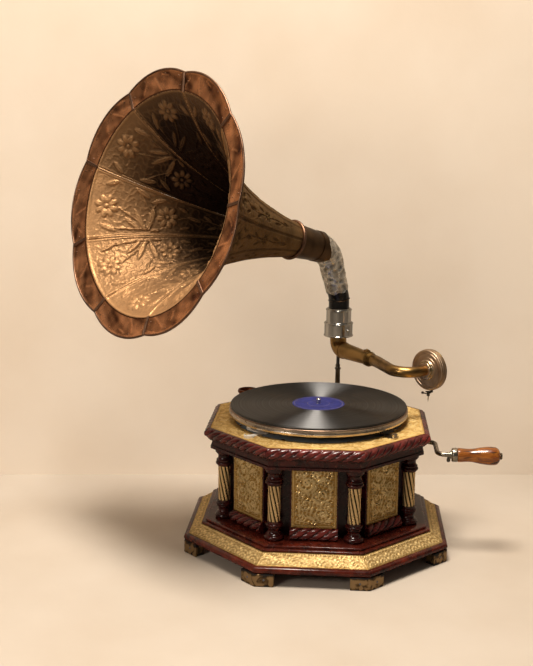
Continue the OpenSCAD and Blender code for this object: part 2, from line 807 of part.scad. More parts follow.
module motor_top_plate() {
    lug_t = 6;
    lug_x = barrel_x + crown_r - crown_face / 2 - lug_t - 3;
    color("lightgray") difference() {
        union() {
            translate([0, 0, top_plate_z]) linear_extrude(height = plate_t) plate_plan();
            translate([lug_x, crank_y - 7, crank_z - 6]) cube([lug_t, 14, top_plate_z - crank_z + 6]);
        }
        translate([0, 0, top_plate_z - 1]) cylinder(r = spindle_r + run_gap, h = plate_t + 2);
        translate([wheel_pos[0], wheel_pos[1], top_plate_z - 1])
            cylinder(r = wheel_shaft_r + run_gap, h = plate_t + 2);
        translate([barrel_x, crank_y, top_plate_z - 1]) cylinder(r = arbor_r + run_gap, h = plate_t + 2);
        shaft_bore(crank_rod_r + run_gap);
        stud_holes(top_plate_z, plate_t);
    }
}

module motor_bottom_plate() {
    color("lightgray") difference() {
        translate([0, 0, plate_z]) linear_extrude(height = plate_t) plate_plan();
        translate([0, 0, plate_z + 1]) cylinder(r = spindle_r + run_gap, h = plate_t);
        translate([wheel_pos[0], wheel_pos[1], plate_z + 1]) cylinder(r = wheel_shaft_r + run_gap, h = plate_t);
        translate([barrel_x, crank_y, plate_z + 1]) cylinder(r = arbor_r + run_gap, h = plate_t);
        stud_holes(plate_z, plate_t);
    }
}

module motor_pillars() {
    color("gray") for (p = pillars_at) translate([p[0], p[1], 0]) {
        translate([0, 0, plate_z - 2]) cylinder(r = stud_r, h = deck_top + 1 - plate_z + 2);
        translate([0, 0, plate_z - 2]) cylinder(r = pillar_r, h = 2);
        translate([0, 0, plate_z + plate_t]) cylinder(r = pillar_r, h = top_plate_z - plate_z - plate_t);
        translate([0, 0, top_plate_z + plate_t]) cylinder(r = pillar_r, h = board_z - top_plate_z - plate_t);
        translate([0, 0, deck_top]) cylinder(r = pillar_r, h = 1.5);
    }
}

module governor_bearings() {
    block_t = 5;
    color("lightgray") for (y = [governor_y0 - block_t, governor_y1]) difference() {
        translate([governor_x - 5, y, plate_z + plate_t])
            cube([10, block_t, governor_z + 5 - plate_z - plate_t]);
        translate([governor_x, y - 1, governor_z]) rotate([-90, 0, 0])
            cylinder(r = governor_r + run_gap, h = block_t + 2);
    }
}

module platter() {
    skin = 2.5;
    boss = 15;
    boss_drop = 2;
    color("peru") difference() {
        union() {
            translate([0, 0, rim_z]) cylinder(r = platter_r, h = platter_h, $fn = 96);
            translate([0, 0, rim_z - boss_drop]) cylinder(r = boss, h = platter_h);
        }
        translate([0, 0, rim_z - 1]) difference() {
            cylinder(r = platter_r - skin, h = platter_h - skin + 1, $fn = 96);
            translate([0, 0, -boss_drop]) cylinder(r = boss, h = platter_h + 4);
        }
        translate([0, 0, rim_z - 3]) cylinder(r = spindle_r + seat_gap / 2, h = platter_h + 5);
        translate([0, 0, rim_z + 3]) rotate_extrude($fn = 96) translate([platter_r + 0.6, 0]) circle(r = 1.4);
    }
}

module platter_felt() {
    color("darkgreen") translate([0, 0, platter_top]) ring(spindle_r + seat_gap, platter_r - 2, felt_t);
}

module spindle() {
    seat_top = record_top + 0.4;
    color("silver") union() {
        translate([0, 0, plate_z + 1]) cylinder(r = spindle_r, h = platter_top - plate_z - 1);
        translate([0, 0, platter_top]) cylinder(r = record_seat_r, h = seat_top - platter_top);
        translate([0, 0, seat_top]) cylinder(r = record_pin_r, h = record_pin_l);
        translate([0, 0, seat_top + record_pin_l]) cylinder(r1 = record_pin_r, r2 = 1.5, h = 1.4);
        translate([0, 0, train_z]) rotate(wheel_dir) gear(pinion_teeth, gear_m, gear_t + 2);
        translate([0, 0, governor_z - 1.5]) rotate(180 + 180 / worm_teeth)
            linear_extrude(height = 3) polygon(gear_outline(worm_teeth, worm_m, 1.6));
    }
}

module record() {
    color("black") translate([0, 0, felt_top]) ring(record_bore_r, record_r, record_t);
}

module record_label() {
    color("slateblue") translate([0, 0, record_top]) ring(record_bore_r, label_r, 0.2);
}

module intermediate_gears() {
    shaft_h = top_plate_z + plate_t - plate_z - 1;
    color("gold") translate([wheel_pos[0], wheel_pos[1], 0]) union() {
        translate([0, 0, plate_z + 1]) cylinder(r = wheel_shaft_r, h = shaft_h);
        translate([0, 0, train_z + 1]) rotate(wheel_dir + 180 + 180 / wheel_teeth)
            gear(wheel_teeth, gear_m, gear_t);
        translate([0, 0, drum_z - gear_t - 2]) rotate(mesh_dir) gear(pinion_teeth, gear_m, gear_t + 2);
    }
}

module spring_barrel() {
    color("gold") translate([barrel_x, crank_y, 0]) difference() {
        union() {
            translate([0, 0, drum_z - gear_t - 1]) rotate(mesh_dir + 180 + 180 / barrel_teeth)
                gear(barrel_teeth, gear_m, gear_t);
            translate([0, 0, drum_z - 1]) cylinder(r = barrel_r, h = drum_h - 1);
        }
        translate([0, 0, drum_z + 1]) cylinder(r = barrel_r - drum_wall, h = drum_h);
        translate([0, 0, train_z]) cylinder(r = arbor_r + run_gap, h = drum_h);
    }
}

module barrel_cover() {
    color("goldenrod") translate([barrel_x, crank_y, drum_z + drum_h - 2])
        ring(arbor_r + run_gap, barrel_r, 2);
}

// Spiral strip from the arbor out to the drum's wall
module mainspring() {
    steps = 20 * spring_turns;
    out_r = barrel_r - drum_wall - spring_t;
    growth = (out_r - spring_in_r) / steps;
    edge = [for (i = [0:steps]) [spring_in_r + growth * i, 18 * i]];
    color("steelblue") translate([barrel_x, crank_y, drum_z + 2]) linear_extrude(height = drum_h - 5)
        polygon(concat([for (p = edge) p[0] * [cos(p[1]), sin(p[1])]],
            [for (i = [steps:-1:0]) let (p = edge[i]) (p[0] + spring_t) * [cos(p[1]), sin(p[1])]]));
}

// Arbor of the barrel, with the crown wheel that the crank's pinion turns
module winding_arbor() {
    color("silver") translate([barrel_x, crank_y, 0]) union() {
        translate([0, 0, plate_z + 1]) cylinder(r = arbor_r, h = top_plate_z + plate_t - plate_z - 1);
        translate([0, 0, drum_z + 2]) cylinder(r = spring_in_r - seat_gap, h = drum_h - 5);
        translate([0, 0, crown_z - crown_root - crown_t])
            cylinder(r = crown_r + crown_face / 2, h = crown_t);
        for (i = [0:crown_teeth - 1]) rotate(360 * (i + 0.5) / crown_teeth) crown_tooth();
    }
}

module crown_tooth() {
    w = 0.3 * crown_pitch;
    lean = 0.36 * crown_m;
    translate([crown_r - crown_face / 2, 0, crown_z]) rotate([90, 0, 90]) linear_extrude(height = crown_face)
        polygon([[-w / 2 - lean, -1.4 * crown_m], [w / 2 + lean, -1.4 * crown_m],
            [w / 2 - lean / 2, 0.9 * crown_m], [lean / 2 - w / 2, 0.9 * crown_m]]);
}

module governor_shaft() {
    worm_l = 24;
    lead = worm_starts * PI * worm_m;
    turn = 360 * worm_l / lead;
    thread = 30;
    core = worm_r - 1.3 * worm_m;
    tip = worm_r + 0.9 * worm_m;
    color("silver") translate([governor_x, 0, governor_z]) rotate([-90, 0, 0]) union() {
        translate([0, 0, governor_y0 - 4]) cylinder(r = governor_r, h = governor_y1 - governor_y0 + 8);
        rotate(-turn / 2) linear_extrude(height = worm_l, center = true, twist = -turn, slices = 36, $fn = 8)
            polygon([for (i = [0:worm_starts - 1], p = [[core, -45], [core, -thread * 0.8], [tip, -thread / 2],
                [tip, thread / 2], [core, thread * 0.8], [core, 45]])
                p[0] * [cos(360 * i / worm_starts + p[1]), sin(360 * i / worm_starts + p[1])]]);
        translate([0, 0, governor_y1 - 6]) cylinder(r = 14, h = 2);
    }
}

module governor_weights() {
    ball_r = 5;
    ball_at = 12;
    span = 20;
    y0 = governor_y1 - 8 - span;
    leaf = sqrt(pow(span / 2, 2) + pow(ball_at - 5, 2));
    lean = atan2(ball_at - 5, span / 2);
    color("gold") translate([governor_x, 0, governor_z]) rotate([-90, 0, 0]) translate([0, 0, y0]) {
        for (z = [0, span - 4]) translate([0, 0, z]) ring(governor_r + seat_gap / 2, 6, 4);
        for (a = [0:120:240]) rotate(a) {
            translate([ball_at, 0, span / 2]) sphere(r = ball_r);
            translate([5, -2.5, 0]) rotate([0, lean, 0]) cube([0.8, 5, leaf]);
            translate([5, -2.5, span]) mirror([0, 0, 1]) rotate([0, lean, 0]) cube([0.8, 5, leaf]);
        }
    }
}

// Frame of the arm: x along the arm at its own height, y to its left
module arm_frame() {
    translate([pivot_x, pivot_y, arm_z]) rotate(arm_heading) children();
}

module tonearm() {
    straight = arm_len - knuckle_bend;
    bore_r = neck_r - stem_wall + 0.5;
    flange = 3;
    color("gold") difference() {
        union() {
            translate([pivot_x, pivot_y, arm_z + knuckle_bend])
                cylinder(r = stem_r, h = stem_top - arm_z - knuckle_bend);
            translate([pivot_x, pivot_y, stem_top - 4]) cylinder(r = ferrule_r - joint_gap, h = flange);
            arm_frame() {
                translate([knuckle_bend, 0, knuckle_bend]) rotate([90, 0, 0]) rotate(180)
                    rotate_extrude(angle = 90) translate([knuckle_bend, 0]) circle(r = stem_r);
                translate([knuckle_bend, 0, 0]) rotate([0, 90, 0])
                    cylinder(r1 = stem_r, r2 = arm_end_r, h = straight);
                translate([knuckle_bend, 0, 0]) rotate([0, 90, 0]) cylinder(r = stem_r + 0.6, h = 2.5);
                translate([arm_len - 5, 0, 0]) rotate([0, 90, 0]) cylinder(r = arm_end_r + 1, h = 5);
                translate([arm_len - 9, -3, arm_end_r - 1]) cube([9, 6, 4]);
            }
        }
        translate([pivot_x, pivot_y, arm_z + knuckle_bend]) cylinder(r = stem_r - stem_wall, h = collar_h + 20);
        arm_frame() {
            translate([knuckle_bend, 0, knuckle_bend]) rotate([90, 0, 0]) rotate(180)
                rotate_extrude(angle = 90) translate([knuckle_bend, 0]) circle(r = stem_r - stem_wall);
            translate([knuckle_bend - 0.01, 0, 0]) rotate([0, 90, 0])
                cylinder(r1 = stem_r - stem_wall, r2 = bore_r, h = straight - neck_socket);
            translate([arm_len - neck_socket - 0.02, 0, 0]) rotate([0, 90, 0])
                cylinder(r = neck_r + run_gap, h = neck_socket + 1);
        }
    }
}

// Points and headings along the gooseneck, from its joint to the soundbox
neck_path = concat([[[0, 0], 0], [[neck_lead - neck_base, 0], 0]],
    [for (a = [neck_ease / 2, neck_ease]) [[neck_lead - neck_base + neck_ease_r * sin(a),
        neck_ease_r * (cos(a) - 1)], -a]],
    [for (i = [0:9]) let (a = (neck_turn + neck_ease) * i / 9 - neck_ease)
        [bend_c - [neck_base, 0] + neck_bend * [sin(a), -cos(a)], a]],
    [[tail_end - [neck_base, 0], neck_turn]]);
function neck_ring(stop, r) =
    ring_points([stop[0][0], stop[0][1], 0], [-sin(stop[1]), cos(stop[1]), 0], [0, 0, 1], r);

module gooseneck() {
    color("gold") arm_frame() translate([arm_len + joint_gap, 0, 0]) {
        difference() {
            rotate([0, 90, 0]) union() {
                translate([0, 0, 1 - neck_socket]) cylinder(r = neck_r, h = neck_socket);
                cylinder(r = arm_end_r + 1, h = 3.5);
                translate([0, 0, 3.5]) cylinder(r1 = arm_end_r + 0.4, r2 = neck_r, h = neck_base - 3.5);
            }
            translate([-neck_socket, 0, 0]) rotate([0, 90, 0])
                cylinder(r = neck_r - stem_wall, h = neck_socket + neck_base + 1);
        }
        translate([neck_base, 0, 0]) swept_tube([for (p = neck_path) neck_ring(p, neck_r)],
            [for (p = neck_path) neck_ring(p, neck_r - stem_wall)]);
    }
}

// Frame of the soundbox: z along its axis away from the gooseneck, -y down towards the record
module soundbox_frame() {
    arm_frame() translate([arm_len + joint_gap + tail_end[0], tail_end[1], 0]) rotate(neck_turn)
        rotate([90, 0, 90]) children();
}

module soundbox_back() {
    color("peru") soundbox_frame() difference() {
        union() {
            cylinder(r = hub_r - 3, h = hub_t);
            translate([0, 0, 2]) cylinder(r1 = hub_r - 1.5, r2 = hub_r, h = hub_t - 2);
            translate([0, 0, hub_t]) rotate_extrude($fn = 96) difference() {
                union() {
                    square([soundbox_r - 1.2, soundbox_t]);
                    translate([0, 1.2]) square([soundbox_r, soundbox_t - 1.2]);
                }
                translate([soundbox_r - 5, 0]) circle(r = 0.9);
            }
        }
        translate([0, 0, hub_t + back_t]) cylinder(r = soundbox_r - ring_wall, h = soundbox_t);
        translate([0, 0, -1]) cylinder(r = neck_r - stem_wall, h = hub_t + soundbox_t);
    }
}

module soundbox_gaskets() {
    gasket_r = soundbox_r - ring_wall - seat_gap;
    color("dimgray") soundbox_frame() for (z = [0, gasket_t + diaphragm_t])
        translate([0, 0, hub_t + back_t + z]) ring(gasket_r - 3, gasket_r, gasket_t);
}

module diaphragm() {
    color("lightgray") soundbox_frame() translate([0, 0, hub_t + back_t + gasket_t])
        cylinder(r = soundbox_r - ring_wall - seat_gap, h = diaphragm_t);
}

module soundbox_ring() {
    ring_z = hub_t + back_t + 2 * gasket_t + diaphragm_t;
    lip_h = hub_t + soundbox_t - ring_z;
    color("tan") soundbox_frame() {
        translate([0, 0, ring_z]) ring(soundbox_r - ring_wall - 4, soundbox_r - ring_wall - seat_gap, lip_h);
        translate([0, 0, hub_t + soundbox_t]) ring(soundbox_r - ring_wall - 4, soundbox_r - 0.6, 1.6);
    }
}

// Bar from the middle of the diaphragm over the ring, then back under the rim to the needle's socket
module stylus_bar() {
    face = hub_t + back_t + gasket_t + diaphragm_t;
    front = hub_t + soundbox_t + 3;
    bar_w = 2.4;
    bar_t = 1.8;
    foot = soundbox_r + 5;
    pin_l = 9;
    color("silver") soundbox_frame() difference() {
        union() {
            translate([0, 0, face]) cylinder(r = 1.5, h = front - face + bar_t);
            translate([-bar_w / 2, -foot, front]) cube([bar_w, foot, bar_t]);
            translate([-bar_w / 2, -foot, chuck_z]) cube([bar_w, 3, front + bar_t - chuck_z]);
            translate([0, -bar_drop, chuck_z]) rotate([-90, 0, 0]) cylinder(r = 2.2, h = chuck_l);
            translate([-pin_l / 2, -foot + 1.5, chuck_z]) rotate([0, 90, 0]) cylinder(r = 1.2, h = pin_l);
        }
        translate([0, -bar_drop - 1, chuck_z]) rotate([-90, 0, 0])
            cylinder(r = needle_r + seat_gap / 2, h = chuck_l - 1);
        translate([0, -screw_drop, chuck_z]) rotate([0, 90, 0]) cylinder(r = needle_screw_r + run_gap, h = 6);
    }
}

module needle_screw() {
    thread_l = 7;
    color("silver") soundbox_frame() translate([needle_r + 1.5 * seat_gap, -screw_drop, chuck_z])
        rotate([0, 90, 0]) union() {
            cylinder(r = needle_screw_r, h = thread_l);
            translate([0, 0, thread_l]) cylinder(r = 1.1, h = 2);
            translate([0, 0, thread_l + 3]) sphere(r = 2);
        }
}

module needle() {
    point = 4;
    top = bar_drop - chuck_l + 2.5;
    color("silver") soundbox_frame() translate([0, -top, chuck_z]) rotate([90, 0, 0]) union() {
        cylinder(r = needle_r, h = needle_tip - top - point);
        translate([0, 0, needle_tip - top - point]) cylinder(r1 = needle_r, r2 = 0.2, h = point);
    }
}

// Vertical plane of the horn: x outwards along its heading
module horn_plane() {
    translate([pivot_x, pivot_y, 0]) rotate(horn_turn) children();
}

// Frame of the horn with z along its axis
module horn_frame() {
    translate([pivot_x, pivot_y, horn_z]) rotate([0, 90 - horn_tilt, horn_turn]) children();
}

module elbow_ferrule() {
    spigot_r = (elbow_r - elbow_wall) * cos(180 / sweep_sides) - seat_gap;
    spigot_h = 8;
    foot = stem_top + joint_gap;
    color("silver") translate([pivot_x, pivot_y, 0]) difference() {
        union() {
            translate([0, 0, foot]) cylinder(r = ferrule_r, h = collar_top - foot);
            translate([0, 0, collar_top]) cylinder(r = spigot_r, h = spigot_h);
            translate([0, 0, collar_top]) cylinder(r = collar_upper_r - elbow_seat, h = elbow_seat);
        }
        translate([0, 0, foot - 1]) cylinder(r = stem_r - stem_wall, h = collar_top + spigot_h + 2 - foot);
    }
}

// Point and turn of the elbow's centre line at share t of its length, in the horn's plane
function elbow_at(t) =
    let (d = t * elbow_total, e = d - elbow_foot, s = e - ease_len, b = s - elbow_run,
        a = e <= 0 ? 0 : s <= 0 ? e / ease_len * elbow_lean : b <= 0 ? elbow_lean
            : elbow_lean + b / bend_len * (bend_turn - elbow_lean),
        p = e <= 0 ? [0, d]
            : s <= 0 ? [elbow_ease * (1 - cos(a)), elbow_foot + elbow_ease * sin(a)]
            : b <= 0 ? shank_foot + s * [sin(a), cos(a)]
            : shank_end + elbow_bend * [cos(elbow_lean) - cos(a), sin(a) - sin(elbow_lean)])
    [[p[0], 0, elbow_z0 + p[1]], a];
function elbow_radius(t) = elbow_r + (elbow_end_r - elbow_r) * pow(t, elbow_swell);

// Stations of the elbow as point, turn and radius; the last one is the tail inside the throat
elbow_stops = concat([for (k = [0:elbow_steps]) let (t = k / elbow_steps) concat(elbow_at(t), elbow_radius(t))],
    [[elbow_at(1)[0] + elbow_tail * [sin(bend_turn), 0, cos(bend_turn)], bend_turn, elbow_end_r]]);
function elbow_ring(stop, more) =
    ring_points(stop[0], [cos(stop[1]), 0, -sin(stop[1])], [0, 1, 0], stop[2] + more);

// Bent tube over some of the stations, between two offsets from the elbow's own radius
module elbow_tube(first, last, inner, outer) {
    stops = [for (k = [first:last]) elbow_stops[k]];
    horn_plane() swept_tube([for (e = stops) elbow_ring(e, outer)], [for (e = stops) elbow_ring(e, inner)]);
}

module horn_elbow() {
    color("black") elbow_tube(0, elbow_steps + 1, -elbow_wall, 0);
}

module elbow_sleeve() {
    color("lightgray") elbow_tube(sleeve_first, elbow_steps, seat_gap, seat_gap + sleeve_t);
}

module horn_throat() {
    color("saddlebrown") horn_frame() translate([0, 0, throat_s]) rotate_extrude($fn = 96)
        polygon([[throat_r - horn_t, 0], [throat_r, 0], [neck_horn_r, throat_len],
            [neck_horn_r - horn_t, throat_len]]);
}

module throat_bead() {
    bead = 2.4;
    color("sienna") horn_frame() translate([0, 0, bead_s - bead]) rotate_extrude($fn = 96) difference() {
        translate([neck_horn_r + bead / 2, 0]) circle(r = bead);
        square([2 * (neck_horn_r + seat_gap), 6 * bead], center = true);
    }
}

// One petal's sector, with its profile turned about the horn's axis
module petal_sector(k) {
    rotate(seam_angle + petal_angle * k + seam_gap / 2) rotate_extrude(angle = petal_angle - seam_gap, $fn = 96)
        children();
}

// Frame on a petal's sheet: z into the horn, x towards the mouth, y across the petal
module on_petal(k, back, across) {
    s = fold_s - back * petal_len;
    r = horn_radius(s);
    slope = r * (flare_rate + 2 * flare_bend * (s - bead_s));
    rotate(seam_angle + petal_angle * (k + 0.5) + across * petal_angle / 2) translate([r, 0, s])
        rotate([0, atan(slope) - 90, 0]) children();
}

module leaf_plan(length, width) {
    polygon([[-length, 0], [-length / 2, -width], [length / 2, -width], [length, 0], [length / 2, width],
        [-length / 2, width]]);
}

// Pressed flowers and leaves of one petal, cut out of a skin inside its sheet; every second petal is mirrored
module petal_relief(k) {
    hand = k % 2 == 0 ? 1 : -1;
    for (f = petal_flowers) on_petal(k, f[0], hand * f[1]) cylinder(r = f[2], h = 2 * relief_reach, center = true);
    for (f = petal_leaves) on_petal(k, f[0], hand * f[1]) rotate(hand * f[4])
        linear_extrude(height = 2 * relief_reach, center = true) leaf_plan(f[2], f[3]);
}

module horn_petals() {
    steps = 12;
    curve = [for (i = [0:steps]) let (s = bead_s + petal_len * i / steps) [horn_radius(s), s]];
    inside = [for (i = [steps:-1:0]) curve[i] - [horn_t, 0]];
    skin = [for (p = curve) p - [horn_t / 2, 0]];
    raised = [for (p = inside) p - [relief_t, 0]];
    color("peru") horn_frame() for (k = [0:petals - 1]) {
        petal_sector(k) polygon(concat(curve, inside));
        intersection() {
            petal_sector(k) polygon(concat(skin, raised));
            petal_relief(k);
        }
    }
}

module horn_lip() {
    width = lip_out_r - fold_r + 3;
    rise = width * lip_rise;
    color("chocolate") horn_frame() for (k = [0:petals - 1]) intersection() {
        petal_sector(k) polygon([[fold_r - horn_t, fold_s], [fold_r + width, fold_s + rise],
            [fold_r + width, fold_s + rise + horn_t], [fold_r - horn_t, fold_s + horn_t]]);
        rotate(seam_angle + petal_angle * (k + 0.5)) translate([scallop_c, 0, fold_s - 5])
            cylinder(r = lip_out_r - scallop_c, h = 40, $fn = 96);
    }
}

module brake_lever() {
    pad_x = 2;
    tab_r = 7;
    color("silver") lever_place(brake_dir, brake_pivot_r) translate([0, 0, lever_z]) union() {
        translate([0, 0, board_z - 1 - lever_z]) cylinder(r = lever_pin_r, h = lever_z - board_z + 1);
        cylinder(r = lever_eye_r, h = lever_t);
        translate([0, -lever_w / 2, 0]) cube([brake_reach, lever_w, lever_t]);
        translate([brake_reach, 0, 0]) cylinder(r = tab_r, h = lever_t);
        translate([brake_reach, 0, lever_t]) difference() {
            cylinder(r = tab_r, h = 2);
            translate([0, 0, -1]) cylinder(r = tab_r - 1.2, h = 4);
            translate([-2 * tab_r, -tab_r, -1]) cube([2 * tab_r, 2 * tab_r, 4]);
        }
        translate([pad_x - 4, -brake_arm, 0]) cube([8, brake_arm, lever_t]);
        translate([pad_x - 4, -brake_arm - 4, 0]) cube([6, 8, rim_z + 5 - lever_z]);
    }
}

module speed_lever() {
    color("silver") lever_place(speed_dir, speed_pivot_r) translate([0, 0, lever_z]) union() {
        translate([0, 0, deck_z + 1 - lever_z]) cylinder(r = lever_pin_r, h = lever_z - deck_z - 1);
        translate([0, -3, deck_z + 1 - lever_z]) mirror([1, 0, 0]) cube([22, 6, 3]);
        cylinder(r = lever_eye_r, h = lever_t);
        translate([0, -lever_w / 2, 0]) cube([speed_reach - 6, lever_w, lever_t]);
        translate([speed_reach - 4, 0, 0]) cylinder(r = 9, h = lever_t);
        translate([speed_reach, 0, lever_t]) cylinder(r = 4.5, h = 4);
    }
}

// One-piece crank: the winding shaft with its pinion, the double bend and the grip's pin
module crank() {
    gear_x = barrel_x + crown_r - crown_face / 2;
    shaft_x = gear_x - 10;
    arm = crank_reach - 2 * crank_bend;
    color("silver") translate([0, crank_y, crank_z]) union() {
        translate([shaft_x, 0, 0]) rotate([0, 90, 0]) cylinder(r = crank_rod_r, h = crank_bend_x - shaft_x);
        translate([gear_x, 0, 0]) rotate([0, 90, 0]) gear(bevel_teeth, crown_m, crown_face);
        translate([bush_out + joint_gap, 0, 0]) rotate([0, 90, 0]) cylinder(r = crank_rod_r + 1.6, h = 5);
        translate([crank_bend_x, -crank_bend, 0]) rotate_extrude(angle = 90)
            translate([crank_bend, 0]) circle(r = crank_rod_r);
        translate([crank_bend_x + crank_bend, -crank_bend, 0]) rotate([90, 0, 0])
            cylinder(r = crank_rod_r, h = arm);
        translate([crank_pin_x, crank_bend - crank_reach, 0]) rotate(180) rotate_extrude(angle = 90)
            translate([crank_bend, 0]) circle(r = crank_rod_r);
        translate([crank_pin_x, -crank_reach, 0]) rotate([0, 90, 0]) {
            cylinder(r = crank_rod_r, h = grip_x - crank_pin_x + grip_len + 1);
            translate([0, 0, grip_x - crank_pin_x - ferrule_l - 2]) cylinder(r = 5.5, h = 2 - joint_gap);
            translate([0, 0, grip_x - crank_pin_x + grip_len + joint_gap]) cylinder(r1 = 5.2, r2 = 4, h = 2);
        }
    }
}

module crank_grip() {
    waist_r = 9.4;
    neck_at = 18;
    fat_at = grip_len - grip_r;
    curve = [for (i = [0:10]) let (x = neck_at + (fat_at - neck_at) * i / 10)
        [(waist_r + grip_r) / 2 - (grip_r - waist_r) / 2 * cos(18 * i), x]];
    tip = [for (a = [15:15:75]) [grip_r * cos(a), fat_at + grip_r * sin(a)]];
    color("peru") translate([grip_x, crank_y - crank_reach, crank_z]) rotate([0, 90, 0]) difference() {
        rotate_extrude() union() {
            polygon(concat([[0, 0], [waist_r + 0.5, 0], [waist_r + 0.2, 8]], curve, tip, [[0, grip_len]]));
            translate([0, -ferrule_l]) square([waist_r + 0.2, ferrule_l]);
        }
        translate([0, 0, -ferrule_l - 1]) cylinder(r = crank_rod_r + run_gap, h = grip_len + ferrule_l + 2);
    }
}

feet();
plinth();
bottom_board();
bottom_screws();
base_skirt();
cabinet_walls();
panel_blocks();
side_panels();
panel_ropes();
column_bases();
column_shafts();
column_capitals();
cornice();
deck_board();
top_rope();
deck_sheet();
motor_board();
deck_screws();
needle_cup();
back_bracket();
bracket_screws();
support_post();
collar();
crank_bush();
motor_top_plate();
motor_bottom_plate();
motor_pillars();
governor_bearings();
platter();
platter_felt();
spindle();
record();
record_label();
intermediate_gears();
spring_barrel();
barrel_cover();
mainspring();
winding_arbor();
governor_shaft();
governor_weights();
tonearm();
gooseneck();
soundbox_back();
soundbox_gaskets();
diaphragm();
soundbox_ring();
stylus_bar();
needle_screw();
needle();
elbow_ferrule();
horn_elbow();
elbow_sleeve();
horn_throat();
throat_bead();
horn_petals();
horn_lip();
brake_lever();
speed_lever();
crank();
crank_grip();
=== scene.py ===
"""Dressed scene of an eight-sided table gramophone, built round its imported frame.

Sizes in this file are in millimetres, and become metres when a mesh is made.
"""

import json
import logging
import math
from dataclasses import dataclass, field
from enum import Enum
from typing import Sequence

import bmesh
import bpy
import numpy as np
from mathutils import Matrix, Vector


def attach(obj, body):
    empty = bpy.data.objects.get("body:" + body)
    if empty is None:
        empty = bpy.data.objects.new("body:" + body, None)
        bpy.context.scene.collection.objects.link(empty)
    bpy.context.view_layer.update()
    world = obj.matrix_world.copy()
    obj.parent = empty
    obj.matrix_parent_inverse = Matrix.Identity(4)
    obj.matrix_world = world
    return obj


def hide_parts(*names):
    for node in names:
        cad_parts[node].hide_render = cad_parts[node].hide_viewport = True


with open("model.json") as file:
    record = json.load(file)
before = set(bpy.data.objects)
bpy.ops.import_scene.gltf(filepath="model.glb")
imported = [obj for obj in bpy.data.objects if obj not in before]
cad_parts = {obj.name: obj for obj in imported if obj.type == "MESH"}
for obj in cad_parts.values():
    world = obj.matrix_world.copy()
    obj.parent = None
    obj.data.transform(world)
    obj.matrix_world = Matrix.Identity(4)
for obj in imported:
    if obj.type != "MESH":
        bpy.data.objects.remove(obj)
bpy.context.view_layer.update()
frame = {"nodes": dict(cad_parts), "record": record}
LOG = logging.getLogger("gramophone")
Array = np.ndarray
Socket = bpy.types.NodeSocket
MM = 1e-3
SIDES = 8
HALF_SIDE = math.pi / SIDES
BODY_OF = {node: body for body, nodes in frame["record"]["behaviour"]["bodies"].items() for node in nodes}


def linear(code: str) -> tuple[float, float, float, float]:
    """Turns a colour written as six hexadecimal digits into linear light.

    Args:
        code: red, green and blue as shown on a screen.
    Returns:
        The colour that a shader socket takes, with full opacity.
    """
    parts = [int(code[i:i + 2], 16) / 255 for i in (0, 2, 4)]
    light = [c / 12.92 if c <= 0.04045 else ((c + 0.055) / 1.055) ** 2.4 for c in parts]
    return light[0], light[1], light[2], 1.0


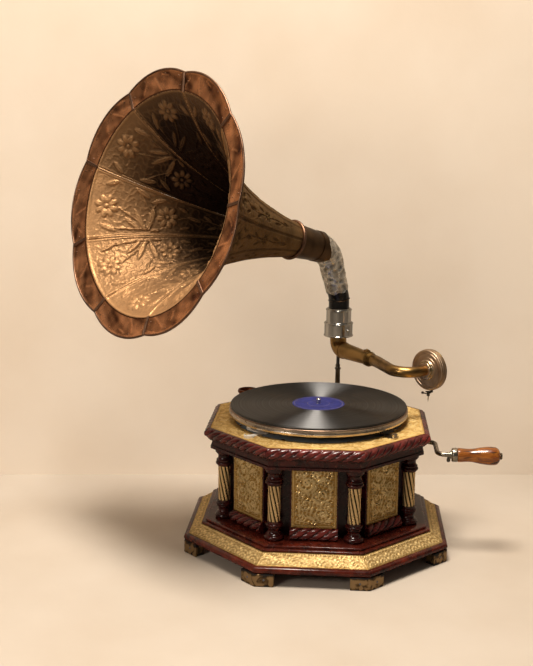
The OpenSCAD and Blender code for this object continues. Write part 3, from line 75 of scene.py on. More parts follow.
class Tree:
    """Short words for building the nodes of one material."""

    def __init__(self, name: str) -> None:
        """Starts a material with one principled shader.

        Args:
            name: the material's name.
        """
        self.material = bpy.data.materials.new(name)
        self.material.use_nodes = True
        self.nodes = self.material.node_tree.nodes
        self.links = self.material.node_tree.links
        self.shader = self.nodes["Principled BSDF"]
        self.place = self.nodes.new("ShaderNodeTexCoord").outputs["Object"]

    def feed(self, node: bpy.types.Node, feeds: dict[int | str, object]) -> None:
        """Links a socket, or sets a value, on each input of a node that is named.

        Args:
            node: the node.
            feeds: a socket or a value for each input.
        """
        for key, value in feeds.items():
            if isinstance(value, Socket):
                self.links.new(value, node.inputs[key])
            else:
                node.inputs[key].default_value = value

    def node(self, kind: str, feeds: dict[int | str, object] | None = None, **settings: object) -> bpy.types.Node:
        """Adds a node.

        Args:
            kind: its type, without the word that all types begin with.
            feeds: a socket or a value for each input.
            settings: the node's own settings.
        Returns:
            The new node.
        """
        made = self.nodes.new("ShaderNode" + kind)
        for key, value in settings.items():
            setattr(made, key, value)
        self.feed(made, feeds or {})
        return made

    def set(self, **values: object) -> None:
        """Sets shader sockets by name, with underscores for spaces; a socket is linked and a value is set."""
        self.feed(self.shader, {key.replace("_", " "): value for key, value in values.items()})

    def stretched(self, x: float, y: float, z: float) -> Socket:
        """Object coordinates in metres, stretched by one factor for each axis."""
        return self.node("Mapping", {"Vector": self.place, "Scale": (x, y, z)}).outputs["Vector"]

    def noise(self, scale: float, detail: float = 3.0, warp: float = 0.0, place: Socket | None = None) -> Socket:
        """Cloudy value from 0 to 1.

        Args:
            scale: spots for each metre.
            detail: how many finer layers are added.
            warp: how far the spots are pulled out of shape.
            place: coordinates, or None for plain object coordinates.
        Returns:
            The value's socket.
        """
        return self.node("TexNoise", {"Vector": place or self.place, "Scale": scale, "Detail": detail,
                                      "Distortion": warp}).outputs["Fac"]

    def cells(self, scale: float) -> Socket:
        """Distance to the nearest of scattered points, for stippled ground."""
        return self.node("TexVoronoi", {"Vector": self.place, "Scale": scale}).outputs["Distance"]

    def relief(self) -> Socket:
        """The piece's own height of embossing: 1 on its tops and on plain pieces, 0 in its hollows."""
        return self.sum("SUBTRACT", 1.0, self.node("Attribute", attribute_name="hollow").outputs["Fac"])

    def radius(self) -> Socket:
        """Distance from the upright axis through the origin, in metres."""
        return self.node("VectorMath", {0: self.stretched(1.0, 1.0, 0.0)}, operation="LENGTH").outputs["Value"]

    def axis(self, letter: str) -> Socket:
        """One of the object coordinates, in metres."""
        return self.node("SeparateXYZ", {0: self.place}).outputs[letter]

    def sum(self, operation: str, a: object, b: object = 0.0) -> Socket:
        """A math node on two sockets or numbers."""
        return self.node("Math", {0: a, 1: b}, operation=operation).outputs[0]

    def span(self, value: Socket, low: float, high: float, to_low: float = 0.0, to_high: float = 1.0) -> Socket:
        """Maps a span of values to another one, held at its ends."""
        return self.node("MapRange", dict(enumerate((value, low, high, to_low, to_high)))).outputs[0]

    def blend(self, share: object, a: object, b: object) -> Socket:
        """Mixes two colours by a share from 0 to 1.

        Args:
            share: socket or number.
            a: colour at 0, as six digits or a socket.
            b: colour at 1, as six digits or a socket.
        Returns:
            The mixed colour's socket.
        """
        first, second = (linear(tone) if isinstance(tone, str) else tone for tone in (a, b))
        return self.node("Mix", {0: share, 6: first, 7: second}, data_type="RGBA").outputs[2]

    def bump(self, height: Socket, depth: float, strength: float = 1.0, normal: Socket | None = None) -> Socket:
        """Bends the normal by a height.

        Args:
            height: value from 0 to 1.
            depth: what 1 stands for, in millimetres.
            strength: share of the effect.
            normal: another bump to add to.
        Returns:
            The normal's socket.
        """
        feeds = {"Height": height, "Strength": strength, "Distance": depth * MM}
        if normal is not None:
            feeds["Normal"] = normal
        return self.node("Bump", feeds).outputs["Normal"]


@dataclass(frozen=True)
class Finish:
    """A finish of the object's surfaces, made once and shared."""

    name: str

    def paint(self, tree: Tree) -> None:
        """Fills in the tree's nodes; each kind of finish has its own way."""
        raise NotImplementedError

    def material(self) -> bpy.types.Material:
        """The finish as a Blender material."""
        made = bpy.data.materials.get("finish_" + self.name)
        if made is None:
            tree = Tree("finish_" + self.name)
            self.paint(tree)
            made = tree.material
        return made


@dataclass(frozen=True)
class Lacquer(Finish):
    """Gloss lacquer over stained wood: long grain, hollows painted darker as shade, small rubbed spots."""

    dark: str = "220506"
    warm: str = "5a150e"
    rubbed: str = "8a3a22"
    along: tuple[float, float, float] = (1.0, 1.0, 1.0)
    rough: float = 0.2
    coat: float = 0.22

    def paint(self, tree: Tree) -> None:
        """Grain is noise stretched along the piece; the painted shade of the hollows comes from the relief."""
        place = tree.stretched(*self.along)
        grain = tree.noise(70.0, 6.0, 0.6, place)
        cloud = tree.noise(14.0, 2.0)
        wood = tree.blend(tree.span(grain, 0.3, 0.72), self.dark, self.warm)
        wood = tree.blend(tree.span(cloud, 0.35, 0.75, 0.0, 0.55), wood, self.dark)
        spots = tree.span(tree.noise(210.0, 4.0), 0.66, 0.74, 0.0, 0.55)
        wood = tree.blend(spots, wood, self.rubbed)
        # Hollows of the relief, the rope's grooves, blend towards near black: painted shade.
        wood = tree.blend(tree.span(tree.relief(), 0.0, 0.75, 0.85, 0.0), wood, "0d0203")
        dull = tree.span(tree.noise(38.0, 5.0), 0.3, 0.75, self.rough - 0.06, self.rough + 0.16)
        tree.set(Base_Color=wood, Roughness=dull, Specular_IOR_Level=0.35, Coat_Weight=self.coat,
                 Coat_Roughness=0.1, Normal=tree.bump(grain, 0.12, 0.5))


@dataclass(frozen=True)
class Embossed(Finish):
    """Pressed sheet metal: tops brighter than hollows, a stippled ground and blotches of tarnish."""

    high: str = "d8ab57"
    low: str = "6f4d1c"
    stain: str = "3a2710"
    stained: float = 0.5
    rough: float = 0.3
    stipple: float = 900.0
    pits: float = 0.18
    metallic: float = 0.75

    def paint(self, tree: Tree) -> None:
        """Colour follows the relief; tarnish is two sizes of noise; the ground is cells and fine noise."""
        height = tree.relief()
        metal = tree.blend(tree.span(height, 0.08, 0.8), self.low, self.high)
        blotch = tree.span(tree.noise(26.0, 6.0, 0.8), 0.5, 0.78, 0.0, self.stained)
        metal = tree.blend(blotch, metal, self.stain)
        freckle = tree.span(tree.noise(260.0, 4.0), 0.58, 0.72, 0.0, 0.45 * self.stained)
        metal = tree.blend(freckle, metal, self.stain)
        dull = tree.span(tree.noise(90.0, 5.0), 0.25, 0.8, self.rough - 0.08, self.rough + 0.2)
        ground = tree.bump(tree.cells(self.stipple), self.pits, 0.6)
        tree.set(Base_Color=metal, Metallic=self.metallic, Roughness=dull, Specular_Tint=metal,
                 Normal=tree.bump(tree.noise(420.0, 4.0), 0.16, 0.5, ground))


@dataclass(frozen=True)
class Plate(Finish):
    """Smooth polished or plated metal with drifting tone, faint scratches and handled patches."""

    tone: str = "c9c6c0"
    shade: str = "8f8a82"
    rough: float = 0.16
    spread: float = 0.14
    scratch: tuple[float, float, float] = (3.0, 1.0, 1.0)
    # Stretch of the tone's drift along each axis; the collar's upright streaks are painted reflections.
    flow: tuple[float, float, float] = (1.0, 1.0, 1.0)

    def paint(self, tree: Tree) -> None:
        """Tone and gloss drift with noise; scratches are stretched noise as a shallow bump."""
        drift = tree.noise(34.0, 5.0, 0.5, tree.stretched(*self.flow))
        metal = tree.blend(tree.span(drift, 0.42, 0.78), self.tone, self.shade)
        marks = tree.noise(240.0, 4.0, 0.0, tree.stretched(*self.scratch))
        dull = tree.span(tree.noise(60.0, 5.0), 0.3, 0.75, self.rough, self.rough + self.spread)
        tree.set(Base_Color=metal, Metallic=1.0, Roughness=dull, Normal=tree.bump(marks, 0.05, 0.35))


@dataclass(frozen=True)
class Enamel(Finish):
    """Paint or a moulded skin: even colour with dust, rubbed patches and a fine orange-peel."""

    tone: str = "0b0b0d"
    dust: str = "2a2623"
    rough: float = 0.32
    peel: float = 0.06

    def paint(self, tree: Tree) -> None:
        """Dust is noise over the tone; gloss varies with it; the peel is a shallow bump."""
        cloud = tree.noise(30.0, 6.0, 0.4)
        skin = tree.blend(tree.span(cloud, 0.48, 0.8, 0.0, 0.8), self.tone, self.dust)
        dull = tree.span(cloud, 0.3, 0.8, self.rough, self.rough + 0.25)
        tree.set(Base_Color=skin, Roughness=dull, Normal=tree.bump(tree.noise(700.0, 3.0), self.peel, 0.5))


@dataclass(frozen=True)
class WornBrass(Finish):
    """Sheet brass worn through to black in patches, for the corner feet."""

    gold: str = "b8966a"
    black: str = "17120d"
    rough: float = 0.38

    def paint(self, tree: Tree) -> None:
        """A sharp noise mask divides brass from black, with a brown border; upper and lower edges are blackest."""
        edge = tree.sum("ABSOLUTE", tree.sum("SUBTRACT", tree.axis("Z"), 0.0085))
        mask = tree.sum("ADD", tree.noise(92.0, 7.0, 0.9), tree.span(edge, 0.004, 0.009, -0.14, 0.1))
        brown = tree.blend(tree.span(mask, 0.38, 0.48), self.gold, "5a442c")
        metal = tree.blend(tree.span(mask, 0.49, 0.55), brown, self.black)
        dull = tree.span(mask, 0.4, 0.6, self.rough, 0.72)
        tree.set(Base_Color=metal, Metallic=tree.span(mask, 0.46, 0.54, 0.85, 0.1), Roughness=dull,
                 Normal=tree.bump(mask, 0.3, 0.5))


@dataclass(frozen=True)
class Shellac(Finish):
    """Pressed record: fine grooves whose sheen runs across them, with dust in the outer bands."""

    pitch: float = 0.7

    def paint(self, tree: Tree) -> None:
        """Grooves are a sine of the radius; broad bands are slower noise of the radius."""
        far = tree.radius()
        wave = tree.sum("SINE", tree.sum("MULTIPLY", far, 2 * math.pi / (self.pitch * MM)))
        band = tree.noise(420.0, 4.0, 0.0, tree.node("CombineXYZ", {0: far}).outputs[0])
        dust = tree.noise(48.0, 6.0)
        skin = tree.blend(tree.span(dust, 0.45, 0.8, 0.0, 0.7), "0a0908", "1d1916")
        skin = tree.blend(tree.span(band, 0.5, 0.65, 0.0, 0.8), skin, "231c16")
        way = tree.node("Tangent", direction_type="RADIAL", axis="Z")
        tree.set(Base_Color=skin, Roughness=tree.span(band, 0.35, 0.65, 0.4, 0.6), Specular_IOR_Level=0.9, IOR=1.7,
                 Anisotropic=1.0, Anisotropic_Rotation=0.25, Tangent=way.outputs[0],
                 Normal=tree.bump(wave, 0.05, 0.1))


@dataclass(frozen=True)
class Label(Finish):
    """Plain printed label: violet-blue paper with two thin rings and handling marks."""

    radius_mm: float = 37.0

    def paint(self, tree: Tree) -> None:
        """Rings are narrow spans of the radius over mottled paper."""
        far = tree.radius()
        paper = tree.blend(tree.span(tree.noise(120.0, 6.0), 0.35, 0.7), "20235f", "2f3378")
        for share, width in ((0.93, 0.35), (0.42, 0.3)):
            gap = tree.sum("ABSOLUTE", tree.sum("SUBTRACT", far, self.radius_mm * share * MM))
            paper = tree.blend(tree.span(gap, 0.0, width * MM, 0.75, 0.0), paper, "9a8a72")
        worn = tree.span(tree.noise(300.0, 5.0), 0.62, 0.72, 0.0, 0.5)
        tree.set(Base_Color=tree.blend(worn, paper, "6f6b86"), Roughness=0.6, Specular_IOR_Level=0.25,
                 Normal=tree.bump(tree.noise(900.0, 3.0), 0.05, 0.5))


@dataclass(frozen=True)
class Felt(Finish):
    """Short green pile."""

    def paint(self, tree: Tree) -> None:
        """Two sizes of noise make the pile's tone and nap."""
        nap = tree.noise(1500.0, 4.0)
        tree.set(Base_Color=tree.blend(nap, "0c150c", "22351f"), Roughness=0.95, Sheen_Weight=0.5,
                 Normal=tree.bump(nap, 0.3, 0.8))


@dataclass(frozen=True)
class Grain(Finish):
    """Bare or varnished timber with long figure lines and darker streaks."""

    pale: str = "b8702a"
    deep: str = "7a3a10"
    streak: str = "2a1206"
    rough: float = 0.22
    coat: float = 0.5
    along: tuple[float, float, float] = (0.18, 1.0, 1.0)

    def paint(self, tree: Tree) -> None:
        """Figure is warped noise stretched along the grain; streaks are its upper end."""
        place = tree.stretched(*self.along)
        figure = tree.noise(150.0, 6.0, 1.6, place)
        wood = tree.blend(tree.span(figure, 0.3, 0.65), self.pale, self.deep)
        band = tree.noise(85.0, 4.0, 2.2, place)
        wood = tree.blend(tree.span(band, 0.52, 0.62, 0.0, 0.9), wood, self.streak)
        pores = tree.noise(900.0, 3.0, 0.0, place)
        tree.set(Base_Color=wood, Roughness=tree.span(figure, 0.3, 0.7, self.rough, self.rough + 0.12),
                 Coat_Weight=self.coat, Coat_Roughness=0.08, Normal=tree.bump(pores, 0.08, 0.4))


class Look(Enum):
    """Every finish that the object shows."""

    LACQUER = Lacquer("red_lacquer", "1e0707", "4a1712", "8a4a34")
    PLINTH = Lacquer("plinth_lacquer", "260a08", "6c2818", "b0704e")
    # A darker copy of the lacquer for the panel blocks and the case walls, set back between the columns: painted shade.
    SHADED_BLOCK = Lacquer("block_lacquer_painted_shade", "20060a", "481218", "5c2420", coat=0.06)
    ROPE = Lacquer("rope_lacquer", "34100f", "7c302a", "b8746a", coat=0.3)
    BOARD = Grain("plain_board", "8a6a44", "6b4d2c", "4a3019", rough=0.55, coat=0.0, along=(0.1, 1.0, 1.0))
    # The deck's low colour in the relief's hollows is partly tarnish and partly painted shade of the relief.
    DECK_BRASS = Embossed("deck_brass", "ffde96", "c6964a", "7e5824",
                          stained=0.4, rough=0.36, stipple=900.0, pits=0.18, metallic=0.3)
    SKIRT_BRASS = Embossed("skirt_brass", "f0d092", "86642f", "4a3414",
                           stained=0.3, rough=0.42, stipple=700.0, pits=0.2, metallic=0.4)
    PANEL_BRASS = Embossed("panel_brass", "f4daa2", "b08a4c", "4a3616",
                           stained=0.4, rough=0.26, stipple=420.0, pits=0.35, metallic=0.8)
    # The shafts' low colour, near black, is painted shade in the flutes.
    COLUMN_BRASS = Embossed("column_brass", "f2d098", "120b06", "4a3616",
                            stained=0.35, rough=0.26, stipple=500.0, pits=0.05)
    FOOT_BRASS = WornBrass("foot_brass")
    CUP = Plate("cup_brown", "7a4326", "4a2412", rough=0.32)
    ENAMEL = Enamel("black_enamel")
    GLOSS_BLACK = Enamel("elbow_black", "08080a", "1a1816", rough=0.14)
    # The motor board is dark; its mid grey-blue is painted light, so that it reads lit in the platter's shadow.
    MOTOR_BOARD = Enamel("motor_board_painted_light", "86929a", "96a2a8", rough=0.4)
    NICKEL = Plate("nickel", "d2cfc8", "a39c90", rough=0.12)
    # Its tone drifts in long upright dark and bright streaks: painted reflections on the chrome.
    COLLAR = Plate("collar_painted_reflections", "dcdad4", "4a4846", rough=0.1, spread=0.08,
                   scratch=(1.0, 1.0, 4.0), flow=(1.6, 1.6, 0.05))
    WORN_NICKEL = Plate("worn_nickel", "c2b8a6", "7d6e58", rough=0.2)
    STEEL = Plate("machined_steel", "9a9a9c", "77777a", rough=0.3)
    DARK_STEEL = Plate("dark_steel", "6e6962", "3c3834", rough=0.3)
    SPRING = Plate("blued_spring", "3c4458", "2a2f3f", rough=0.28)
    # The brake lever is plated metal; its pale diffuse colour is a painted sheen that stands for its bright
    # reflections.
    LEVER = Enamel("lever_painted_sheen", "f0e8da", "d2c6b2", rough=0.35)
    PLATTER = Plate("platter_bronze", "a88a74", "6e5848", rough=0.26)
    PLATTER_LINE = Plate("platter_line", "d2c4b2", "a09080", rough=0.22)
    FELT = Felt("green_felt")
    SHELLAC = Shellac("record_shellac")
    LABEL = Label("record_label_paper")
    GEAR = Plate("gear_brass", "c9a55c", "a58443", rough=0.26)
    ARM = Plate("arm_brass", "a98550", "6a4e2a", rough=0.26)
    JOINT = Plate("joint_brass", "8c6c3c", "4e3818", rough=0.3)
    SOUNDBOX = Plate("soundbox_metal", "ceb294", "967a60", rough=0.36)
    HUB = Plate("hub_ring", "d6c4a4", "ab946f", rough=0.16)
    RUBBER = Enamel("gasket_rubber", "191715", "26231f", rough=0.7)
    FOIL = Plate("diaphragm_foil", "cfccc2", "a8a498", rough=0.24)
    # The foil's high and low colours, set by the crumple, are its painted glints and painted shade.
    PEWTER = Embossed("pewter_foil", "e6e0d4", "5c574f", "2c2926",
                      stained=0.12, rough=0.2, stipple=700.0, pits=0.1, metallic=0.8)
    # The inside's low colour also carries the painted shade deep in the horn and on its upper petals.
    HORN_IN = Embossed("horn_inside", "b88c60", "241812", "3a2a20",
                       stained=0.4, rough=0.38, stipple=330.0, pits=0.55, metallic=0.35)
    HORN_OUT = Embossed("horn_outside", "846846", "3e2f20", "1a130d",
                        stained=0.5, rough=0.46, stipple=620.0, pits=0.2, metallic=0.7)
    THROAT = Plate("throat_bronze", "6a523a", "3c2e20", rough=0.3)
    # The lip's high colour also shows its painted highlights, on the creases and near the rim.
    LIP = Embossed("lip_copper", "cc8c60", "52321f", "2a1a14",
                   stained=0.28, rough=0.24, stipple=160.0, pits=0.1, metallic=0.7)
    LIP_WIRE = Plate("lip_wire", "8e6c56", "4a3628", rough=0.34)
    WIRE = Plate("bronze_wire", "4e3826", "2a1e14", rough=0.3)
    GRIP = Grain("olive_grip", "b4702c", "74380f", "1c0c05", rough=0.18, coat=0.6)


@dataclass
class Patch:
    """One grid of points that becomes quads.

    Attributes:
        points: n by m by 3 places.
        look: index of the patch's finish in its piece.
        round_u: joins the last row to the first.
        round_v: joins the last column to the first.
        relief: n by m heights from 0 to 1, or None for 1 all over.
    """

    points: Array
    look: int = 0
    round_u: bool = False
    round_v: bool = False
    relief: Array | None = None

    def quads(self, first: int) -> Array:
        """Corner numbers of every quad, counted from first."""
        n, m = self.points.shape[:2]
        ids = first + np.arange(n * m).reshape(n, m)
        if self.round_u:
            ids = np.concatenate([ids, ids[:1]], 0)
        if self.round_v:
            ids = np.concatenate([ids, ids[:, :1]], 1)
        return np.stack([ids[:-1, :-1], ids[1:, :-1], ids[1:, 1:], ids[:-1, 1:]], -1).reshape(-1, 4)

    def heights(self) -> Array:
        """The relief of every point, in the points' order."""
        n, m = self.points.shape[:2]
        return (np.ones((n, m)) if self.relief is None else self.relief).ravel()


def ring_patch(points: Array, look: int = 0, relief: Array | None = None) -> Patch:
    """A patch that is closed in both directions."""
    return Patch(points, look, True, True, relief)


def tube_patch(points: Array, look: int = 0, relief: Array | None = None) -> Patch:
    """A patch that is closed in its second direction."""
    return Patch(points, look, False, True, relief)


def weld(mesh: bpy.types.Mesh, flat: bool = False) -> None:
    """Merges points that coincide and turns the faces of closed shells outwards.

    Args:
        mesh: the mesh to mend.
        flat: also joins triangles that lie in one plane.
    """
    work = bmesh.new()
    work.from_mesh(mesh)
    bmesh.ops.remove_doubles(work, verts=work.verts, dist=4e-6)
    if flat:
        bmesh.ops.dissolve_limit(work, angle_limit=math.radians(0.4), verts=work.verts, edges=work.edges,
                                 delimit={"NORMAL"})
    bmesh.ops.recalc_face_normals(work, faces=work.faces)
    work.to_mesh(mesh)
    work.free()


def shade(mesh: bpy.types.Mesh, crease: float) -> None:
    """Smooth shading, sharp where faces meet at more than crease degrees."""
    mesh.polygons.foreach_set("use_smooth", np.ones(len(mesh.polygons), bool))
    mesh.set_sharp_from_angle(angle=math.radians(crease))
    mesh.update()


def settle(piece: bpy.types.Object, body: str, nodes: Sequence[str]) -> None:
    """Puts a finished piece into the scene, on its body, in place of its nodes.

    Args:
        piece: the new object.
        body: the body that it moves with.
        nodes: the nodes that it stands for.
    """
    bpy.context.scene.collection.objects.link(piece)
    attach(piece, body)
    if nodes:
        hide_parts(*nodes)
    LOG.info("%s: %d faces on %s", piece.name, len(piece.data.polygons), body)


def make_piece(name: str, patches: Sequence[Patch], looks: Sequence[Look], node: str,
               replaces: bool = True, crease: float = 42.0) -> None:
    """Makes one object out of grids of points.

    Args:
        name: the piece's name.
        patches: its grids, in millimetres.
        looks: its finishes, in the order of the patches' indices.
        node: the node that lends its body.
        replaces: whether the piece stands for that node.
        crease: angle in degrees past which an edge is sharp.
    """
    points, quads, index, heights = [], [], [], []
    first = 0
    for patch in patches:
        quads.append(patch.quads(first))
        points.append(patch.points.reshape(-1, 3) * MM)
        index.append(np.full(len(quads[-1]), patch.look))
        heights.append(patch.heights())
        first += len(points[-1])
    mesh = bpy.data.meshes.new(name)
    mesh.from_pydata(np.concatenate(points).tolist(), [], np.concatenate(quads).tolist())
    for look in looks:
        mesh.materials.append(look.value.material())
    mesh.polygons.foreach_set("material_index", np.concatenate(index).astype(np.int32))
    layer = mesh.attributes.new("hollow", "FLOAT", "POINT")
    layer.data.foreach_set("value", (1 - np.concatenate(heights)).astype(np.float32))
    weld(mesh)
    shade(mesh, crease)
    piece = bpy.data.objects.new(name, mesh)
    settle(piece, BODY_OF[node], [node] if replaces else [])


def node_points(node: str) -> Array:
    """Places of a node's points, n by 3, in metres."""
    source = frame["nodes"][node].data
    spots = np.empty(len(source.vertices) * 3, np.float32)
    source.vertices.foreach_get("co", spots)
    return spots.reshape(-1, 3)


def soften(node: str, look: Look, edge: float = 0.0, crease: float = 34.0) -> None:
    """Replaces a node by a merged copy of itself with smooth shading and eased edges.

    Args:
        node: the node to copy.
        look: its finish.
        edge: width of the eased edges, 0 for none.
        crease: angle in degrees past which an edge is sharp.
    """
    mesh = bpy.data.meshes.new(node + "_shape")
    loops = frame["nodes"][node].data.loops
    corners = np.empty(len(loops), np.int32)
    loops.foreach_get("vertex_index", corners)
    mesh.from_pydata(node_points(node).tolist(), [], corners.reshape(-1, 3).tolist())
    weld(mesh, edge > 0)
    mesh.materials.append(look.value.material())
    shade(mesh, crease)
    piece = bpy.data.objects.new(node + "_shape", mesh)
    if edge > 0:
        ease = piece.modifiers.new("eased_edges", "BEVEL")
        ease.width = edge * MM
        ease.segments = 2
        ease.limit_method = "ANGLE"
        ease.angle_limit = math.radians(crease)
    settle(piece, BODY_OF[node], [node])


def node_box(node: str) -> tuple[Array, Array]:
    """Lowest and highest corner of a node, in millimetres."""
    spots = node_points(node) / MM
    return spots.min(0), spots.max(0)


def dress(look: Look, *nodes: str) -> None:
    """Gives nodes that keep their own shape a finish.

    Args:
        look: the finish.
        nodes: names of the nodes.
    """
    for node in nodes:
        mesh = frame["nodes"][node].data
        mesh.materials.clear()
        mesh.materials.append(look.value.material())
        LOG.info("%s: dressed in %s", node, look.value.name)


def round_angles(count: int) -> Array:
    """Angles of points evenly round a circle, in radians."""
    return np.linspace(0, 2 * math.pi, count, endpoint=False)


def turned(profile: Array, sides: int = 96) -> Array:
    """Surface of revolution: each profile point of radius and height goes round the Z axis.

    Args:
        profile: n by 2 radii and heights.
        sides: points in a round.
    Returns:
        An n by sides by 3 grid, to be closed along its second direction.
    """
    turn = round_angles(sides)
    r, z = profile[:, :1], profile[:, 1:]
    return np.stack([r * np.cos(turn), r * np.sin(turn), z + 0 * turn], -1)


def arc(cx: float, cy: float, r: float, start: float, end: float, count: int = 7) -> Array:
    """Points of a circle's arc from start to end degrees, for use in a profile."""
    a = np.radians(np.linspace(start, end, count))
    return np.stack([cx + r * np.cos(a), cy + r * np.sin(a)], -1)


def placed(grid: Array, origin: Sequence[float], x: Array, y: Array, z: Array) -> Array:
    """Moves a grid from its own axes x, y and z to the part's frame."""
    return np.asarray(origin) + grid[..., :1] * x + grid[..., 1:2] * y + grid[..., 2:] * z


def turned_about_z(grid: Array, angle: float) -> Array:
    """Turns a grid about the upright axis by an angle in radians."""
    c, s = math.cos(angle), math.sin(angle)
    return np.stack([grid[..., 0] * c - grid[..., 1] * s, grid[..., 0] * s + grid[..., 1] * c, grid[..., 2]], -1)


def on_sides(grid: Array, shift: float = 0.0) -> list[Array]:
    """Copies of a grid on each side of the octagon, each shifted by a share of a side's angle."""
    return [turned_about_z(grid, 2 * HALF_SIDE * (k + shift)) for k in range(SIDES)]


def swept(path: Array, side: Array, up: Array, radius: Array, sides: int = 40) -> Array:
    """Round tube: at each stop a circle in the plane of side and up.

    Args:
        path: n by 3 centres.
        side: n by 3 unit vectors across the path.
        up: n by 3 unit vectors across the path and side.
        radius: n radii.
        sides: points in a round.
    Returns:
        An n by sides by 3 grid, to be closed along its second direction.
    """
    turn = round_angles(sides)[None, :, None]
    r = np.asarray(radius)[:, None, None]
    return path[:, None] + r * (np.cos(turn) * side[:, None] + np.sin(turn) * up[:, None])


def domes(spots: Array, normals: Array, radius: float, height: float) -> list[Patch]:
    """Small domed heads: quarter circles turned about each normal.

    Args:
        spots: n by 3 middles of the heads.
        normals: n by 3 unit vectors that they face.
        radius: radius of a head.
        height: rise of a head.
    Returns:
        One patch for each head.
    """
    lift = np.radians(np.linspace(0, 90, 5))
    flat = turned(np.stack([radius * np.cos(lift), height * np.sin(lift)], -1), 10)
    base = turned(np.array([[0.0, -0.4], [radius, -0.4]]), 10)
    shape = np.concatenate([base, flat], 0)
    made = []
    for spot, normal in zip(spots, normals):
        side = np.cross(normal, [0.31, 0.17, 0.94])
        side = side / np.linalg.norm(side)
        made.append(tube_patch(placed(shape, spot, side, np.cross(normal, side), normal)))
    return made


def rounded(share: Array) -> Array:
    """Height of a half ellipse: the square root of one less the square, 0 outside."""
    return np.sqrt(np.clip(1 - share, 0, 1))


def flower(w: Array, q: Array, cx: float, cy: float, size: float, count: int, turn: float = 0.0) -> Array:
    """Blossom: half-ellipsoid petals spaced round a domed eye, each with a shallow crease.

    Args:
        w: places across, in millimetres.
        q: places along.
        cx: middle across.
        cy: middle along.
        size: radius of the blossom.
        count: number of petals.
        turn: angle of the first petal.
    Returns:
        Heights from 0 to 1.
    """
    far = np.hypot(w - cx, q - cy)
    step = 2 * np.pi / count
    off = (np.arctan2(q - cy, w - cx) + turn + step / 2) % step - step / 2
    along, across = far * np.cos(off) - 0.62 * size, far * np.sin(off)
    petal = rounded((along / (0.39 * size)) ** 2 + (across / (1.9 * size / count)) ** 2)
    petal = petal * (1 - 0.22 * np.exp(-(across / (0.06 * size)) ** 2))
    return np.maximum(petal, 0.9 * rounded((far / (0.19 * size)) ** 2))


def leaf(w: Array, q: Array, cx: float, cy: float, length: float, width: float, turn: float) -> Array:
    """Pointed leaf: half an ellipse across, whose width falls to nothing at both ends, with a sunk vein.

    Args:
        w: places across, in millimetres.
        q: places along.
        cx: middle across.
        cy: middle along.
        length: half the leaf's length.
        width: half its greatest width.
        turn: angle of its vein, in degrees from the first direction.
    Returns:
        Heights from 0 to 1.
    """
    a = math.radians(turn)
    along = ((w - cx) * math.cos(a) + (q - cy) * math.sin(a)) / length
    across = (q - cy) * math.cos(a) - (w - cx) * math.sin(a)
    room = width * np.clip(1 - along ** 2, 1e-4, 1) ** 0.8
    blade = rounded((across / room) ** 2) * (np.abs(along) < 1)
    ribs = 0.12 * np.cos(across / width * 7 + np.abs(along) * 16)
    return np.clip(blade * (0.86 + ribs - 0.4 * np.exp(-(across / 0.55) ** 2)), 0, 1)


def ridge(w: Array, q: Array, line: Array, width: float) -> Array:
    """Round ridge along a line: half a circle of the distance to the line's nearest point.

    Args:
        w: places across, in millimetres.
        q: places along.
        line: k by 2 points, closer together than the width.
        width: half the ridge's width.
    Returns:
        Heights from 0 to 1.
    """
    gap = np.full(w.shape, 1e9)
    for x, y in line:
        gap = np.minimum(gap, (w - x) ** 2 + (q - y) ** 2)
    return rounded(gap / width ** 2)


def curve(a: Sequence[float], b: Sequence[float], c: Sequence[float], count: int = 26) -> Array:
    """Points of a parabola that leaves a, bends towards b and ends at c."""
    t = np.linspace(0, 1, count)[:, None]
    return (1 - t) ** 2 * np.asarray(a) + 2 * t * (1 - t) * np.asarray(b) + t ** 2 * np.asarray(c)


def spiral(cx: float, cy: float, start: float, end: float, turns: float, angle: float, count: int = 60) -> Array:
    """Points of a scroll whose radius runs evenly from start to end over the given turns.

    Args:
        cx: middle across.
        cy: middle along.
        start: first radius.
        end: last radius.
        turns: number of turns, negative for the other hand.
        angle: first angle, in degrees.
        count: number of points.
    Returns:
        count by 2 points.
    """
    t = np.linspace(0, 1, count)
    r = start + (end - start) * t
    a = math.radians(angle) + 2 * np.pi * turns * t
    return np.stack([cx + r * np.cos(a), cy + r * np.sin(a)], -1)


def soft_noise(x: Array, y: Array, pitch: float, seed: float) -> Array:
    """Smooth unevenness from -1 to 1: a sum of slanted sines whose pitches don't share a factor."""
    k = 2 * np.pi / pitch
    return (np.sin(k * (x + 0.37 * y) + seed) + np.sin(k * 1.71 * (0.8 * y - 0.29 * x) + 2.3 * seed)
            + np.sin(k * 0.63 * (x - 1.3 * y) + 4.1 * seed)) / 3


def curling(x: Array, y: Array, pitch: float, seed: float, sharp: int = 4) -> Array:
    """Fine winding lines from 0 to 1: one less the size of the unevenness, to a power that thins them."""
    return (1 - np.abs(soft_noise(x, y, pitch, seed))) ** sharp


# Each scroll's place across and up, radius, turns and first angle
PANEL_SCROLLS = ((-9, 62, 11, 1.6, 200), (12, 46, 10, -1.5, 20), (-11, 33, 9, 1.4, 160), (11, 20, 12, -1.7, 0),
                 (17, 66, 5, 1.3, 90), (-18, 47, 5, -1.3, 60), (-16, 14, 6, 1.4, 220), (18, 33, 4, 1.2, 10),
                 (1, 8, 3, 1.2, 90), (1, 45, 4, -1.2, 240), (-20, 76, 4, 1.2, 10), (20, 78, 4, -1.2, 170))
